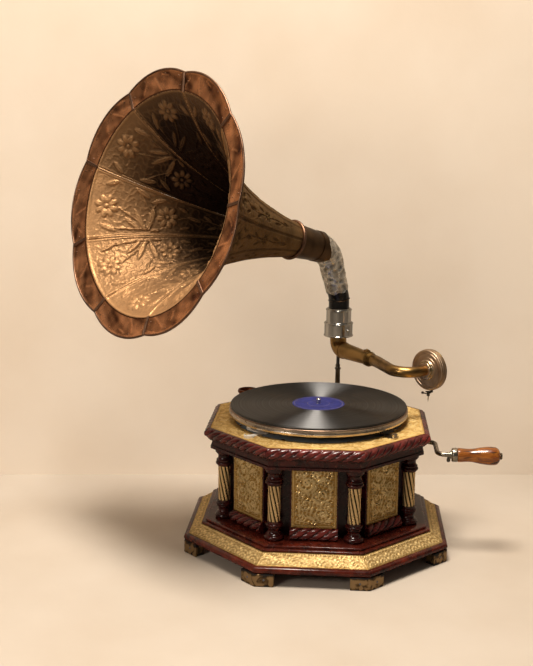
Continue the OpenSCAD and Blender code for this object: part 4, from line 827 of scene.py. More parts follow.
# Each leaf's place across and along, half length, half width and angle
PANEL_LEAVES = ((10, 67, 8, 3.0, 35), (2, 38, 8, 2.8, 150), (-4, 14, 6, 2.4, 160), (-12, 74, 6, 2.4, 30),
                (1, 55, 6, 2.4, 60), (21, 56, 6, 2.2, 100), (-20, 27, 6, 2.2, 100), (-20, 59, 5, 2.0, 80),
                (20, 10, 6, 2.2, 20), (-3, 25, 6, 2.2, 70), (10, 35, 5, 2.0, 20), (-9, 48, 5, 2.0, 130))
DECK_LEAVES = ((57, 138, 6, 2.4, 80), (37, 141, 6, 2.2, 20), (16, 138, 7, 2.4, 160), (36, 130, 5, 2.0, 140),
               (52, 129, 5, 2.0, 50), (18, 127, 5, 2.0, 20))
PETAL_LEAVES = ((12, 74, 17, 4.2, 31), (8, 90, 15, 4.0, -11), (19, 64, 13, 3.6, 57), (25, 95, 9, 3.2, 116),
                (-26, 72, 13, 3.6, 65), (-18, 96, 11, 3.4, 110), (30, 30, 12, 4.0, 75), (-34, 28, 10, 3.6, 110),
                (-2, 150, 11, 3.2, 80), (-12, 132, 8, 2.4, 70), (13, 138, 8, 2.4, 110), (-6, 170, 8, 2.4, 65),
                (6, 178, 8, 2.4, 110), (-3, 222, 9, 2.2, 80), (3, 244, 8, 2.0, 100))
# Each blossom's place across and along, radius, number of petals and first angle
PANEL_FLOWERS = ((2, 74, 6.5, 7), (-9, 62, 4.0, 6), (11, 20, 4.5, 6))
PETAL_FLOWERS = ((0, 26, 17, 8, 0.2), (2, 112, 16, 8, 0.5), (0, 196, 8.0, 7))
# Where each stem starts, bends and ends
PETAL_STEMS = (((0, 43), (6, 58), (24, 88)), ((2, 95), (-4, 84), (-30, 66)), ((24, 88), (28, 60), (30, 36)),
               ((24, 88), (4, 84), (-14, 94)), ((2, 128), (-8, 150), (0, 188)), ((0, 204), (4, 220), (0, 246)))


@dataclass
class Cabinet:
    """The eight-sided case with its feet, mouldings, columns, panels and deck."""

    base_apothem: float = 183.0
    nail_z: float = 9.5
    nail_in: float = 13.0
    nosing_top: float = 27.0
    skirt_apothem: float = 176.4
    skirt_in: float = 158.9
    skirt_top: float = 38.9
    skirt_fans: int = 7
    skirt_lift: float = 1.5
    plinth_top: float = 46.1
    block_apothem: float = 129.0
    block_w: float = 64.0
    panel_w: float = 60.0
    panel_face: float = 130.0
    panel_lift: float = 1.2
    panel_rope_r: float = 8.6
    cornice_z: float = 148.1
    column_r: float = 139.0
    shaft_r: float = 8.6
    shaft_z: tuple[float, float] = (72.1, 122.1)
    shaft_ribs: int = 9
    shaft_twist: float = math.radians(1.6)
    deck_apothem: float = 148.0
    deck_top: float = 177.1
    sheet_apothem: float = 147.0
    sheet_t: float = 1.0
    deck_lift: float = 1.3
    board_r: float = 119.0
    top_rope_r: float = 7.6
    rope_pitch: float = 14.0
    rope_strands: int = 4
    rope_groove: float = 0.32

    def build(self) -> None:
        """Makes and dresses every piece of the case."""
        soften("plinth", Look.PLINTH, edge=0.5)
        soften("cornice", Look.LACQUER, edge=0.4)
        soften("panel_blocks", Look.SHADED_BLOCK, edge=0.5)
        soften("column_bases", Look.LACQUER)
        soften("column_capitals", Look.LACQUER)
        soften("feet", Look.FOOT_BRASS, edge=0.8)
        soften("motor_board", Look.MOTOR_BOARD)
        soften("needle_cup", Look.CUP)
        dress(Look.SHADED_BLOCK, "cabinet_walls")
        dress(Look.LACQUER, "deck_board")
        dress(Look.BOARD, "bottom_board")
        dress(Look.STEEL, "bottom_screws", "bracket_screws")
        dress(Look.NICKEL, "deck_screws")
        self.nails()
        self.skirt()
        self.panels()
        self.rope("panel_rope_mouldings", "panel_ropes")
        self.rope("deck_rope_moulding", "top_rope")
        self.shafts()
        self.deck()

    def nails(self) -> None:
        """Nail heads on the outer faces of the feet, one on each side of every corner."""
        a = round_angles(SIDES)
        out = np.stack([np.cos(a), np.sin(a), 0 * a], -1)
        side = np.stack([-np.sin(a), np.cos(a), 0 * a], -1)
        face = self.base_apothem - 0.5
        across = face * math.tan(HALF_SIDE) - self.nail_in
        spots = [out * face + side * shift * across + [0, 0, self.nail_z] for shift in (-1, 1)]
        heads = domes(np.concatenate(spots), np.tile(out, (2, 1)), radius=1.5, height=0.9)
        make_piece("foot_nails", heads, [Look.STEEL], "feet", replaces=False)

    def along_sides(self, profile: Array, normal: Array, lift: Array, count: int) -> Array:
        """Carries a profile round the octagon, lifted along its normal by a relief.

        Args:
            profile: m by 2 distances from the axis and heights.
            normal: m by 2 unit vectors of the lift.
            lift: count by m heights, the same on every side.
            count: points along a side.
        Returns:
            An 8 count by m by 3 grid, closed in its first direction.
        """
        s = np.linspace(-1, 1, count)[:, None]
        d = profile[:, 0] + normal[:, 0] * lift
        z = profile[:, 1] + normal[:, 1] * lift
        one = np.stack([d, s * d * math.tan(HALF_SIDE), z], -1)
        return np.concatenate(on_sides(one), 0)

    def skirt(self) -> None:
        """Sloped brass band: fans of concentric arcs between a bead row and a plain edge."""
        count, rows = 150, 22
        run, rise = self.skirt_apothem - self.skirt_in, self.skirt_top - self.nosing_top
        slant = math.hypot(run, rise)
        t = np.linspace(0, 1, rows)
        s = np.linspace(-1, 1, count)
        half = (self.skirt_apothem + self.skirt_in) / 2 * math.tan(HALF_SIDE)
        x, q = np.meshgrid(s * half, t * slant, indexing="ij")
        cell = 2 * half / self.skirt_fans
        cx = (x / cell + 0.5) % 1 * cell - cell / 2
        far = np.hypot(cx, q - 3.0)
        fan = (0.5 + 0.5 * np.cos(2 * np.pi * far / 4.8)) * (far < 14) * (q > 3)
        rays = 0.7 + 0.3 * np.cos(11 * np.arctan2(cx, q - 1.0))
        between = rounded((np.abs(cx) - cell / 2) ** 2 / 6 + (q - 12.5) ** 2 / 9)
        beads = rounded(((x / 3.2 + 0.5) % 1 * 3.2 - 1.6) ** 2 / 1.5 + (q - slant + 2.6) ** 2 / 1.5)
        curls = curling(x, q, 9.0, 4.0)
        height = np.maximum.reduce([0.85 * fan * rays, 0.8 * between, 0.8 * beads, 0.5 * curls])
        edge = np.clip((1 - np.abs(s)) / 0.03, 0, 1)[:, None] * np.clip(np.minimum(q, slant - q) / 1.2, 0, 1)
        height = height * edge
        uneven = 0.25 * soft_noise(x, q, 31.0, 1.0) * edge
        n = np.array([rise, run]) / slant
        top = np.stack([self.skirt_apothem - run * t, self.nosing_top + rise * t], -1)
        under = np.array([[self.skirt_in, self.skirt_top - 1.0], [self.skirt_apothem - 1.2, self.nosing_top]])
        profile = np.concatenate([top, under], 0)
        normal = np.concatenate([np.tile(n, (rows, 1)), np.zeros((2, 2))], 0)
        lift = np.concatenate([self.skirt_lift * height + uneven, np.zeros((count, 2))], 1)
        tone = np.tile(np.concatenate([height * 0.85 + 0.15, np.ones((count, 2))], 1), (SIDES, 1))
        make_piece("embossed_skirt", [ring_patch(self.along_sides(profile, normal, lift, count), 0, tone)],
                   [Look.SKIRT_BRASS], "base_skirt")

    def panel_relief(self, x: Array, z: Array, height: float) -> Array:
        """Heights of a side panel: a plain border line, scrolls with leaves over fine curling lines, and blossoms.

        Args:
            x: places across, from the middle.
            z: places up, from the bottom.
            height: the panel's height.
        Returns:
            Heights from 0 to 1.
        """
        half = self.panel_w / 2
        inset = np.minimum(half - np.abs(x), np.minimum(z, height - z))
        found = [0.5 * rounded((inset - 2.4) ** 2 / 0.6)]
        for cx, cz, r, turns, a in PANEL_SCROLLS:
            found.append(0.75 * ridge(x, z, spiral(cx, cz, r, 1.2, turns, a), 1.3 if r > 7 else 0.9))
        found += [leaf(x, z, *row) for row in PANEL_LEAVES] + [flower(x, z, *row) for row in PANEL_FLOWERS]
        found.append(0.8 * curling(x, z, 9.0, 2.0) * np.clip((inset - 3.5) / 2, 0, 1))
        return np.maximum.reduce(found)

    def panels(self) -> None:
        """Eight embossed side panels, each a sheet whose front is lifted by the relief."""
        low, high = self.plinth_top + 2 * self.panel_rope_r, self.cornice_z
        wide, tall = 90, 124
        x, z = np.meshgrid(np.linspace(-1, 1, wide) * self.panel_w / 2, np.linspace(0, high - low, tall),
                           indexing="ij")
        height = self.panel_relief(x, z, high - low)
        rim = np.clip(np.minimum(self.panel_w / 2 - np.abs(x), np.minimum(z, high - low - z)), 0, 1)
        out = self.panel_face + rim * (self.panel_lift * height + 0.25 * soft_noise(x, z, 23.0, 2.0))
        front = np.stack([out, x, z + low], -1)
        ends = [tall - 1, 0]
        back = np.stack([0 * x[:, ends] + self.panel_face - self.sheet_t, x[:, ends], z[:, ends] + low], -1)
        sheet = np.concatenate([front, back], 1)
        tone = np.concatenate([height * rim, np.ones((wide, 2))], 1)
        patches = []
        for grid in on_sides(sheet):
            patches.append(tube_patch(grid, 0, tone))
            for i in (0, wide - 1):
                heel = np.repeat(grid[i, tall:][::-1], [tall // 2, tall - tall // 2], 0)
                patches.append(Patch(np.stack([grid[i, :tall], heel], 0)))
        make_piece("embossed_panels", patches, [Look.PANEL_BRASS], "side_panels")

    def rope(self, name: str, node: str) -> None:
        """Half-round rope: round strands twisted along each side, mitred or cut at its ends.

        The radius is the outline of a bundle of strands, turned in step with the place along the side. On the deck
        the grooves fade out at the very top.

        Args:
            name: the piece's name.
            node: top_rope or panel_ropes.
        """
        deck = node == "top_rope"
        r = self.top_rope_r if deck else self.panel_rope_r
        apothem = self.deck_apothem if deck else self.block_apothem
        z = self.deck_top - r + 1 if deck else self.plinth_top + r
        count, rows, strands = 190 if deck else 100, 26, self.rope_strands
        s = np.linspace(-1, 1, count)[:, None]
        a = np.linspace(-math.pi / 2, math.pi / 2, rows)[None, :]
        reach = (apothem + r * np.cos(a)) * math.tan(HALF_SIDE) if deck else self.block_w / 2 + 0 * a
        x = s * reach
        lobe = ((a - 2 * math.pi * x / (strands * self.rope_pitch)) * strands / (2 * math.pi)) % 1 * 2 - 1
        fade = np.clip(2.1 - 1.5 * a, 0, 1) if deck else 1
        round_lobe = 1 - (1 - rounded(0.97 * lobe ** 2)) * fade
        far = r * (1 - self.rope_groove * (1 - round_lobe))
        one = np.stack([apothem + far * np.cos(a), x, z + far * np.sin(a)], -1)
        ends = [rows - 1, 0]
        heel = np.stack([0 * x[:, :2] + apothem - 0.5, x[:, ends], z + far[:, ends] * [1, -1]], -1)
        grid = np.concatenate([one, heel], 1)
        # Tone falls to nothing in the grooves between strands and on the hidden back faces: painted shade in the
        # grooves.
        tone = np.concatenate([np.clip(round_lobe * 2.0 - 0.8, 0, 1), np.zeros((count, 2))], 1)
        patches = []
        cut_ends = () if deck else (0, count - 1)
        for side in on_sides(grid):
            patches.append(tube_patch(side, 0, tone))
            for i in cut_ends:
                hub = np.repeat(side[i].mean(0, keepdims=True), rows + 2, 0)
                patches.append(tube_patch(np.stack([side[i], hub], 0)))
        make_piece(name, patches, [Look.ROPE], node, crease=60.0)

    def shafts(self) -> None:
        """Eight brass shafts with spiral flutes: the radius swells in rounded ribs that turn with height."""
        low, high = self.shaft_z
        z = np.linspace(low, high, 60)[:, None]
        a = round_angles(108)[None, :]
        share = ((a + self.shaft_twist * (z - low)) * self.shaft_ribs / (2 * math.pi)) % 1 * 2 - 1
        rib = rounded(0.98 * share ** 2)
        far = self.shaft_r * (0.72 + 0.28 * rib)
        grid = np.stack([self.column_r + far * np.cos(a), far * np.sin(a), z + 0 * a], -1)
        # Grooves between the ribs take the near-black low colour: painted shade in the flutes.
        tone = np.clip((rib - 0.62) / 0.3, 0, 1)
        patches = [tube_patch(side, 0, tone) for side in on_sides(grid, 0.5)]
        make_piece("fluted_shafts", patches, [Look.COLUMN_BRASS], "column_shafts", crease=60.0)

    def deck(self) -> None:
        """Brass deck sheet: a plate between the octagon and the motor board, with scrolls and leaves on it."""
        turns, rows = 720, 22
        a = round_angles(turns)[:, None]
        t = np.linspace(0, 1, rows)[None, :]
        off = (a + HALF_SIDE) % (2 * HALF_SIDE) - HALF_SIDE
        outer = self.sheet_apothem / np.cos(off)
        r = self.board_r + (outer - self.board_r) * t
        d, w = r * np.cos(off), r * np.sin(off)
        found = []
        for side in (-1, 1):
            v = side * w
            found.append(0.8 * ridge(v, d, spiral(46, 139, 7, 1.2, 1.5, 120), 1.2))
            found.append(0.8 * ridge(v, d, spiral(27, 133, 6, 1.2, -1.4, 30), 1.2))
            found += [leaf(v, d, *row) for row in DECK_LEAVES]
        found.append(flower(w, d, 0, 134, 7.0, 8))
        edge = rounded((self.sheet_apothem - d - 2.6) ** 2 / 0.8)
        x, y = r * np.cos(a), r * np.sin(a)
        curls = curling(x, y, 10.0, 6.0)
        height = np.maximum.reduce(found + [0.7 * edge, 0.65 * curls])
        height = height * np.clip(np.minimum(r - self.board_r, self.sheet_apothem - d) / 1.2, 0, 1)
        uneven = 0.1 * soft_noise(d * np.cos(a), w + 40 * a, 17.0, 3.0)
        face = np.stack([x, y, self.deck_top + self.sheet_t + self.deck_lift * height + uneven], -1)
        ends = [rows - 1, 0]
        low = np.stack([x[:, ends], y[:, ends], 0 * x[:, :2] + self.deck_top], -1)
        # Tone follows the relief's height so that the embossing shows under a high lamp: partly tarnish in the hollows,
        # partly painted shade of the relief.
        tone = np.concatenate([0.15 + 0.85 * height, np.ones((turns, 2))], 1)
        make_piece("embossed_deck", [ring_patch(np.concatenate([face, low], 1), 0, tone)],
                   [Look.DECK_BRASS], "deck_sheet")


@dataclass
class Turntable:
    """Platter, felt, record and the two levers beside them."""

    rim_z: float = 187.6
    platter_top: float = 197.1
    platter_r: float = 126.5
    hub_r: float = 15.0
    spindle_r: float = 4.05
    felt_top: float = 197.9
    record_top: float = 200.1
    record_r: float = 125.0
    bore_r: float = 3.66
    label_r: float = 37.0

    def build(self) -> None:
        """Makes and dresses the turntable's pieces."""
        self.platter()
        self.record()
        dress(Look.FELT, "platter_felt")
        soften("spindle", Look.NICKEL)
        soften("brake_lever", Look.LEVER, edge=0.25)
        soften("speed_lever", Look.WORN_NICKEL, edge=0.25)

    def platter(self) -> None:
        """Dished platter turned from one profile, with a rounded rim and a bright line round it."""
        r, z0, z1 = self.platter_r, self.rim_z, self.platter_top
        rim = np.concatenate([[[r - 2.5, z0]], arc(r - 1.2, z0 + 1.2, 1.2, -90, 0), arc(r - 0.2, z0 + 3, 0.6, -60, 60),
                              [[r - 0.2, z0 + 4.4]], arc(r - 1.6, z1 - 1.6, 1.6, 0, 90)])
        inside = np.array([[self.spindle_r, z1], [self.spindle_r, z0 - 2], [self.hub_r, z0 - 2], [self.hub_r, z1 - 2.5],
                           [r - 2.5, z1 - 2.5]])
        line = turned(rim[4:17])
        make_piece("platter_dish", [ring_patch(turned(np.concatenate([rim, inside]))),
                                    tube_patch(line * [1.0003, 1.0003, 1], 1)],
                   [Look.PLATTER, Look.PLATTER_LINE], "platter")

    def record(self) -> None:
        """Record with a raised rounded edge, a sunk run-out band and a bored middle; then its label."""
        r, z0, z1 = self.record_r, self.felt_top, self.record_top
        top = np.array([[r - 4, z1 - 0.05], [r - 5, z1 - 0.3], [62, z1 - 0.3], [60, z1 - 0.42], [44, z1 - 0.42],
                        [41, z1 - 0.1], [self.label_r + 0.6, z1 - 0.1], [self.label_r, z1], [self.bore_r, z1]])
        edge = arc(r - 0.9, (z0 + z1) / 2, 0.9, -90, 90, 9) * [1, 1.15] - [0, 0.15 * (z0 + z1) / 2]
        profile = np.concatenate([[[self.bore_r, z0], [r - 3, z0]], edge, top])
        make_piece("grooved_record", [ring_patch(turned(profile, 128))], [Look.SHELLAC], "record",
                   crease=25.0)
        label = np.array([[self.bore_r, z1], [self.label_r, z1], [self.label_r - 0.1, z1 + 0.2], [16.2, z1 + 0.2],
                          [15.6, z1 + 0.1], [15.0, z1 + 0.2], [self.bore_r, z1 + 0.2]])
        make_piece("plain_label", [ring_patch(turned(label, 96))], [Look.LABEL], "record_label")


@dataclass
class Arm:
    """Tonearm, gooseneck and soundbox, with the collar and post behind them."""

    pivot: tuple[float, float] = (25.0, 146.0)
    arm_z: float = 248.6
    heading: float = math.radians(-55.0)
    arm_len: float = 80.0
    joint_gap: float = 0.3
    neck_lead: float = 14.0
    neck_ease: float = math.radians(14.0)
    neck_ease_r: float = 45.0
    neck_run: float = 45.0
    neck_bend: float = 26.0
    neck_turn: float = math.radians(98.6)
    neck_tail: float = 8.0
    neck_r: float = 7.5
    neck_swell: float = 1.3
    arm_end_r: float = 9.6
    hub_t: float = 5.0
    soundbox_r: float = 29.5
    soundbox_t: float = 9.0
    rolls: tuple[tuple[float, float, float], ...] = ((21.4, 270.2, 1.2), (21.2, 289.2, 1.1), (18.9, 310.2, 1.0),
                                                     (19.0, 291.4, 0.7))
    collar_screw: tuple[float, float, float] = (21.3, -0.85, 280.0)
    flat_path: Array = field(init=False)
    turns: Array = field(init=False)

    def __post_init__(self) -> None:
        """Works out the gooseneck's centre line in the arm's own plane.

        It is a straight lead, an arc to the right, a straight run, an arc to the left and a tail.
        """
        ease = np.linspace(0, -self.neck_ease, 10)[1:]
        start = np.array([self.neck_lead, 0.0])
        first = start + self.neck_ease_r * np.stack([-np.sin(ease), np.cos(ease) - 1], -1)
        run = first[-1] + self.neck_run * np.array([math.cos(self.neck_ease), -math.sin(self.neck_ease)])
        middle = run + self.neck_bend * np.array([math.sin(self.neck_ease), math.cos(self.neck_ease)])
        bend = np.linspace(-self.neck_ease, self.neck_turn, 34)
        second = middle + self.neck_bend * np.stack([np.sin(bend), -np.cos(bend)], -1)
        tail = second[-1] + self.neck_tail * np.array([math.cos(self.neck_turn), math.sin(self.neck_turn)])
        self.flat_path = np.concatenate([[[0, 0], start], first, second, [tail]])
        self.turns = np.concatenate([[0, 0], ease, bend, [self.neck_turn]])

    def build(self) -> None:
        """Makes and dresses the arm's pieces."""
        soften("tonearm", Look.ARM)
        self.gooseneck()
        self.soundbox()
        dress(Look.RUBBER, "soundbox_gaskets")
        dress(Look.FOIL, "diaphragm")
        soften("soundbox_ring", Look.ARM, edge=0.2)
        soften("stylus_bar", Look.DARK_STEEL)
        soften("needle_screw", Look.DARK_STEEL)
        soften("needle", Look.NICKEL)
        self.collar()
        self.post()
        soften("back_bracket", Look.ENAMEL, edge=0.6)

    def post(self) -> None:
        """Slim turned post behind the collar: one profile with a foot, a taper, two beads and a top flange."""
        low, high = node_box("support_post")
        foot, bead = node_box("back_bracket")[1][2], node_box("record")[1][2] + 10
        lower = [[0, low[2]], [3.9, low[2]], [3.9, foot], [6, foot], [6, foot + 3.5], [4.6, foot + 5], [3.6, bead - 3]]
        upper = [[2.6, bead + 8], [2.6, high[2] - 20], [6, high[2] - 18], [6, high[2] - 14], [3.9, high[2] - 14],
                 [3.9, high[2]], [0, high[2]]]
        profile = np.concatenate([lower, arc(3.0, bead, 1.9, -70, 70, 6), arc(2.7, bead + 5, 1.2, -70, 70, 6), upper])
        grid = turned(profile, 24) + [(low[0] + high[0]) / 2, (low[1] + high[1]) / 2, 0.0]
        make_piece("turned_post", [tube_patch(grid)], [Look.DARK_STEEL], "support_post", crease=40.0)

    def collar(self) -> None:
        """The collar's own shape, with rolled edges as small circles turned about it, and a screw head."""
        soften("collar", Look.COLLAR)
        rolls = [ring_patch(turned(arc(*roll, 0, 330, 12)) + [*self.pivot, 0.0]) for roll in self.rolls]
        r, angle, z = self.collar_screw
        out = np.array([[math.cos(angle), math.sin(angle), 0.0]])
        rolls += domes(out * r + [*self.pivot, z], out, radius=2.4, height=1.4)
        make_piece("collar_rolls", rolls, [Look.NICKEL], "collar", replaces=False)

    def to_part(self, flat: Array) -> Array:
        """Turns points of the arm's own frame, with x along it from its joint, into the part's frame."""
        c, s = math.cos(self.heading), math.sin(self.heading)
        x = self.arm_len + self.joint_gap + flat[..., 0]
        return np.stack([self.pivot[0] + x * c - flat[..., 1] * s, self.pivot[1] + x * s + flat[..., 1] * c,
                         self.arm_z + flat[..., 2]], -1)

    def gooseneck(self) -> None:
        """Bent tube: a circle carried along the neck's path, with a flange at its joint; then a screw head."""
        n = len(self.flat_path)
        path = np.concatenate([self.flat_path, np.zeros((n, 1))], 1)
        side = np.stack([-np.sin(self.turns), np.cos(self.turns), 0 * self.turns], -1)
        up = np.tile([0.0, 0.0, 1.0], (n, 1))
        reach = np.concatenate([[0.0], np.cumsum(np.linalg.norm(np.diff(self.flat_path, axis=0), axis=1))])
        size = self.neck_r + self.neck_swell * (1 - reach / reach[-1])
        outer = swept(path, side, up, np.where(reach < 3, self.neck_r, size))
        inner = swept(path, side, up, np.full(n, self.neck_r - 2))
        r = self.arm_end_r + 1.7
        flange = np.array([[self.neck_r - 2, -11], [self.neck_r, -11], [self.neck_r, 0], [r - 0.5, 0], [r, 0.5],
                           [r, 3.0], [r - 0.5, 3.5], [r - 1.1, 3.8], [r - 0.8, 5.2], [r - 1.2, 6.6],
                           [self.neck_r + 1.7, 9.5], [self.neck_r + 1.3, 11.5], [self.neck_r - 2, 11.5]])
        cup = turned(flange, 40)[..., [2, 0, 1]]
        make_piece("bent_gooseneck", [ring_patch(self.to_part(np.concatenate([outer, inner[::-1]]))),
                                      ring_patch(self.to_part(cup), 1)],
                   [Look.ARM, Look.JOINT], "gooseneck")
        spot = self.to_part(np.array([[-4.5, 0.0, 13.0]]))
        make_piece("joint_screw", domes(spot, up[:1], radius=2.0, height=1.2), [Look.JOINT], "tonearm", replaces=False)

    def soundbox(self) -> None:
        """Soundbox housing turned from one profile: hub, rings on the back, stepped rim and an open front."""
        heading = self.heading + self.neck_turn
        z = np.array([math.cos(heading), math.sin(heading), 0.0])
        y = np.array([0.0, 0.0, 1.0])
        origin = self.to_part(np.append(self.flat_path[-1], 0.0))
        r, h, t = self.soundbox_r, self.hub_t, self.soundbox_t
        hub = np.concatenate([[[5.5, 0.0], [10.6, 0.0]], arc(10.6, 0.9, 0.9, -90, 20, 5), [[11.3, 2.2], [12.6, 2.2]],
                              arc(12.8, 3.4, 1.2, -90, 30, 6), [[14.5, h - 0.1]]])
        back = np.concatenate([[[15.5, h + 0.2], [18.0, h + 0.3]], arc(19.0, h, 0.7, 160, 20, 5), [[20.0, h + 0.3]],
                               [[23.2, h + 0.3]], arc(24.4, h + 0.9, 0.9, 180, 360, 7), [[25.4, h + 0.3]],
                               arc(r - 2.2, h + 1.6, 1.6, -90, 0, 6)])
        rim = np.concatenate([[[r - 0.6, h + 2.2], [r - 1.3, h + 2.6], [r - 1.3, h + 3.4], [r - 0.4, h + 3.8]],
                              arc(r - 1.0, h + 6.2, 1.0, -30, 40, 5), [[r - 0.5, h + t - 0.6], [r - 1.0, h + t]]])
        front = np.array([[r - 4.0, h + t], [r - 4.0, h + 3.0], [5.5, h + 3.0]])
        profiles = np.concatenate([hub, back, rim, front]), hub[1:-1] * [1.004, 1.0] - [0, 0.02]
        body, ring = (placed(turned(profile), origin, np.cross(y, z), y, z) for profile in profiles)
        make_piece("soundbox_housing", [ring_patch(body), tube_patch(ring, 1)],
                   [Look.SOUNDBOX, Look.HUB], "soundbox_back", crease=30.0)


@dataclass
class Horn:
    """Elbow, foil sleeve, throat, petals and lip, all about the horn's own axis."""

    pivot: tuple[float, float] = (25.0, 146.0)
    collar_top: float = 311.1
    elbow_seat: float = 1.5
    elbow_foot: float = 8.5
    elbow_lean: float = math.radians(19.0)
    elbow_ease: float = 40.0
    elbow_run: float = 53.2
    elbow_bend: float = 40.0
    elbow_swell: float = 2.6
    elbow_r: float = 15.6
    elbow_end_r: float = 20.6
    elbow_wall: float = 2.0
    elbow_tail: float = 16.0
    sleeve_start: float = 29.0
    tilt: float = math.radians(14.7)
    heading: float = math.radians(226.4)
    throat_len: float = 58.0
    neck_r: float = 26.0
    petal_len: float = 252.0
    flare_rate: float = 0.0063
    fold_r: float = 149.7
    lip_seam_r: float = 171.8
    scallop: float = 6.2
    petals: int = 9
    sheet: float = 1.0
    seam: float = math.radians(13.77)
    lip_rise: float = 0.18
    flower_lift: float = 3.0
    rib_lift: float = 1.3
    seam_gap: float = 0.0012
    wire_r: float = 1.5
    tab_w: float = 2.4

    def __post_init__(self) -> None:
        """Works out the horn's axis, its stations along that axis and its flare."""
        turn = math.pi / 2 - self.tilt
        self.ease_len = self.elbow_ease * self.elbow_lean
        self.bend_len = self.elbow_bend * (turn - self.elbow_lean)
        self.elbow_len = self.elbow_foot + self.ease_len + self.elbow_run + self.bend_len
        c, s = math.cos(self.heading), math.sin(self.heading)
        self.ahead = np.array([c, s, 0.0])
        self.left = np.array([-s, c, 0.0])
        self.axis = math.sin(turn) * self.ahead + np.array([0, 0, math.cos(turn)])
        self.down = math.cos(turn) * self.ahead - np.array([0, 0, math.sin(turn)])
        end = self.bend(np.array([self.elbow_len]))[0][0] - np.array([*self.pivot, 0.0])
        run = float(end @ self.ahead) / math.cos(self.tilt)
        self.origin = np.array([*self.pivot, end[2] - run * math.sin(self.tilt)])
        self.throat_s = run + 1
        self.bead_s = self.throat_s + self.throat_len
        self.fold_s = self.bead_s + self.petal_len
        self.flare_bend = (math.log(self.fold_r / self.neck_r) - self.flare_rate * self.petal_len) / self.petal_len ** 2
        self.petal_angle = 2 * math.pi / self.petals

    def build(self) -> None:
        """Makes and dresses the horn's pieces."""
        self.elbow()
        self.sleeve()
        dress(Look.NICKEL, "elbow_ferrule")
        soften("horn_throat", Look.THROAT)
        self.cuff()
        soften("throat_bead", Look.LIP_WIRE)
        for k in range(self.petals):
            self.petal(k)
        self.lip()

    def about_axis(self, r: Array, a: Array, s: Array) -> Array:
        """Points at a radius, an angle and a distance along the horn's axis."""
        return (self.origin + (r * np.cos(a))[..., None] * self.down + (r * np.sin(a))[..., None] * self.left
                + (s + 0 * r)[..., None] * self.axis)

    def flare(self, s: Array) -> tuple[Array, Array]:
        """Radius of the horn's outside at a distance along its axis, and its slope.

        The radius grows as the exponential of a first and a second power of the distance from the bead.

        Args:
            s: distances along the axis.
        Returns:
            The radii and their rates of growth.
        """
        d = s - self.bead_s
        r = self.neck_r * np.exp(self.flare_rate * d + self.flare_bend * d ** 2)
        return r, r * (self.flare_rate + 2 * self.flare_bend * d)

    def bend(self, d: Array) -> tuple[Array, Array, Array]:
        """Centre line of the elbow: upright, an easy arc, a leaning run, an arc to the horn's axis, straight on.

        Args:
            d: distances along the line, 0 at its foot.
        Returns:
            Centres, and two unit vectors across the line.
        """
        ease = np.clip(d - self.elbow_foot, 0, self.ease_len) / self.elbow_ease
        run = np.clip(d - self.elbow_foot - self.ease_len, 0, self.elbow_run)
        lean = self.elbow_lean
        last = lean + np.clip(d - self.elbow_len + self.bend_len, 0, self.bend_len) / self.elbow_bend
        more = np.maximum(d - self.elbow_len, 0)
        a = ease + last - lean
        out = (self.elbow_ease * (1 - np.cos(ease)) + math.sin(lean) * run
               + self.elbow_bend * (math.cos(lean) - np.cos(last)) + np.sin(a) * more)
        up = (np.minimum(d, self.elbow_foot) + self.elbow_ease * np.sin(ease) + math.cos(lean) * run
              + self.elbow_bend * (np.sin(last) - math.sin(lean)) + np.cos(a) * more)
        rise = np.array([0, 0, 1.0])
        foot = np.array([*self.pivot, self.collar_top + self.elbow_seat])
        path = foot + out[:, None] * self.ahead + up[:, None] * rise
        side = np.cos(a)[:, None] * self.ahead - np.sin(a)[:, None] * rise
        return path, side, np.tile(self.left, (len(d), 1))

    def elbow_size(self, d: Array) -> Array:
        """Outer radius of the elbow, growing from its foot to the throat."""
        share = np.clip(d / self.elbow_len, 0, 1)
        return self.elbow_r + (self.elbow_end_r - self.elbow_r) * share ** self.elbow_swell

    def wrapped(self, d: Array, a: Array, r: Array) -> Array:
        """Points round the elbow: distances along its line, angles about it and distances from it, all one shape."""
        path, side, up = (part.reshape(*d.shape, 3) for part in self.bend(d.ravel()))
        return path + (r * np.cos(a))[..., None] * side + (r * np.sin(a))[..., None] * up

    def elbow(self) -> None:
        """Bent black tube with a wall, and a loop of wire round its foot."""
        d = np.linspace(0, self.elbow_len + self.elbow_tail, 84)
        path, side, up = self.bend(d)
        size = self.elbow_size(d)
        outer = swept(path, side, up, size, 56)
        inner = swept(path, side, up, size - self.elbow_wall, 56)
        make_piece("bent_elbow", [ring_patch(np.concatenate([outer, inner[::-1]]))],
                   [Look.GLOSS_BLACK], "horn_elbow")
        a = round_angles(72)[:, None]
        b = round_angles(10)[None, :]
        wire = self.wrapped(13.0 + 0.8 * np.sin(a) + 0.65 * np.sin(b), a + 0 * b,
                            self.elbow_r + 0.55 + 0.65 * np.cos(b) + 0 * a)
        make_piece("wire_loop", [ring_patch(wire)], [Look.WIRE], "horn_elbow", replaces=False)

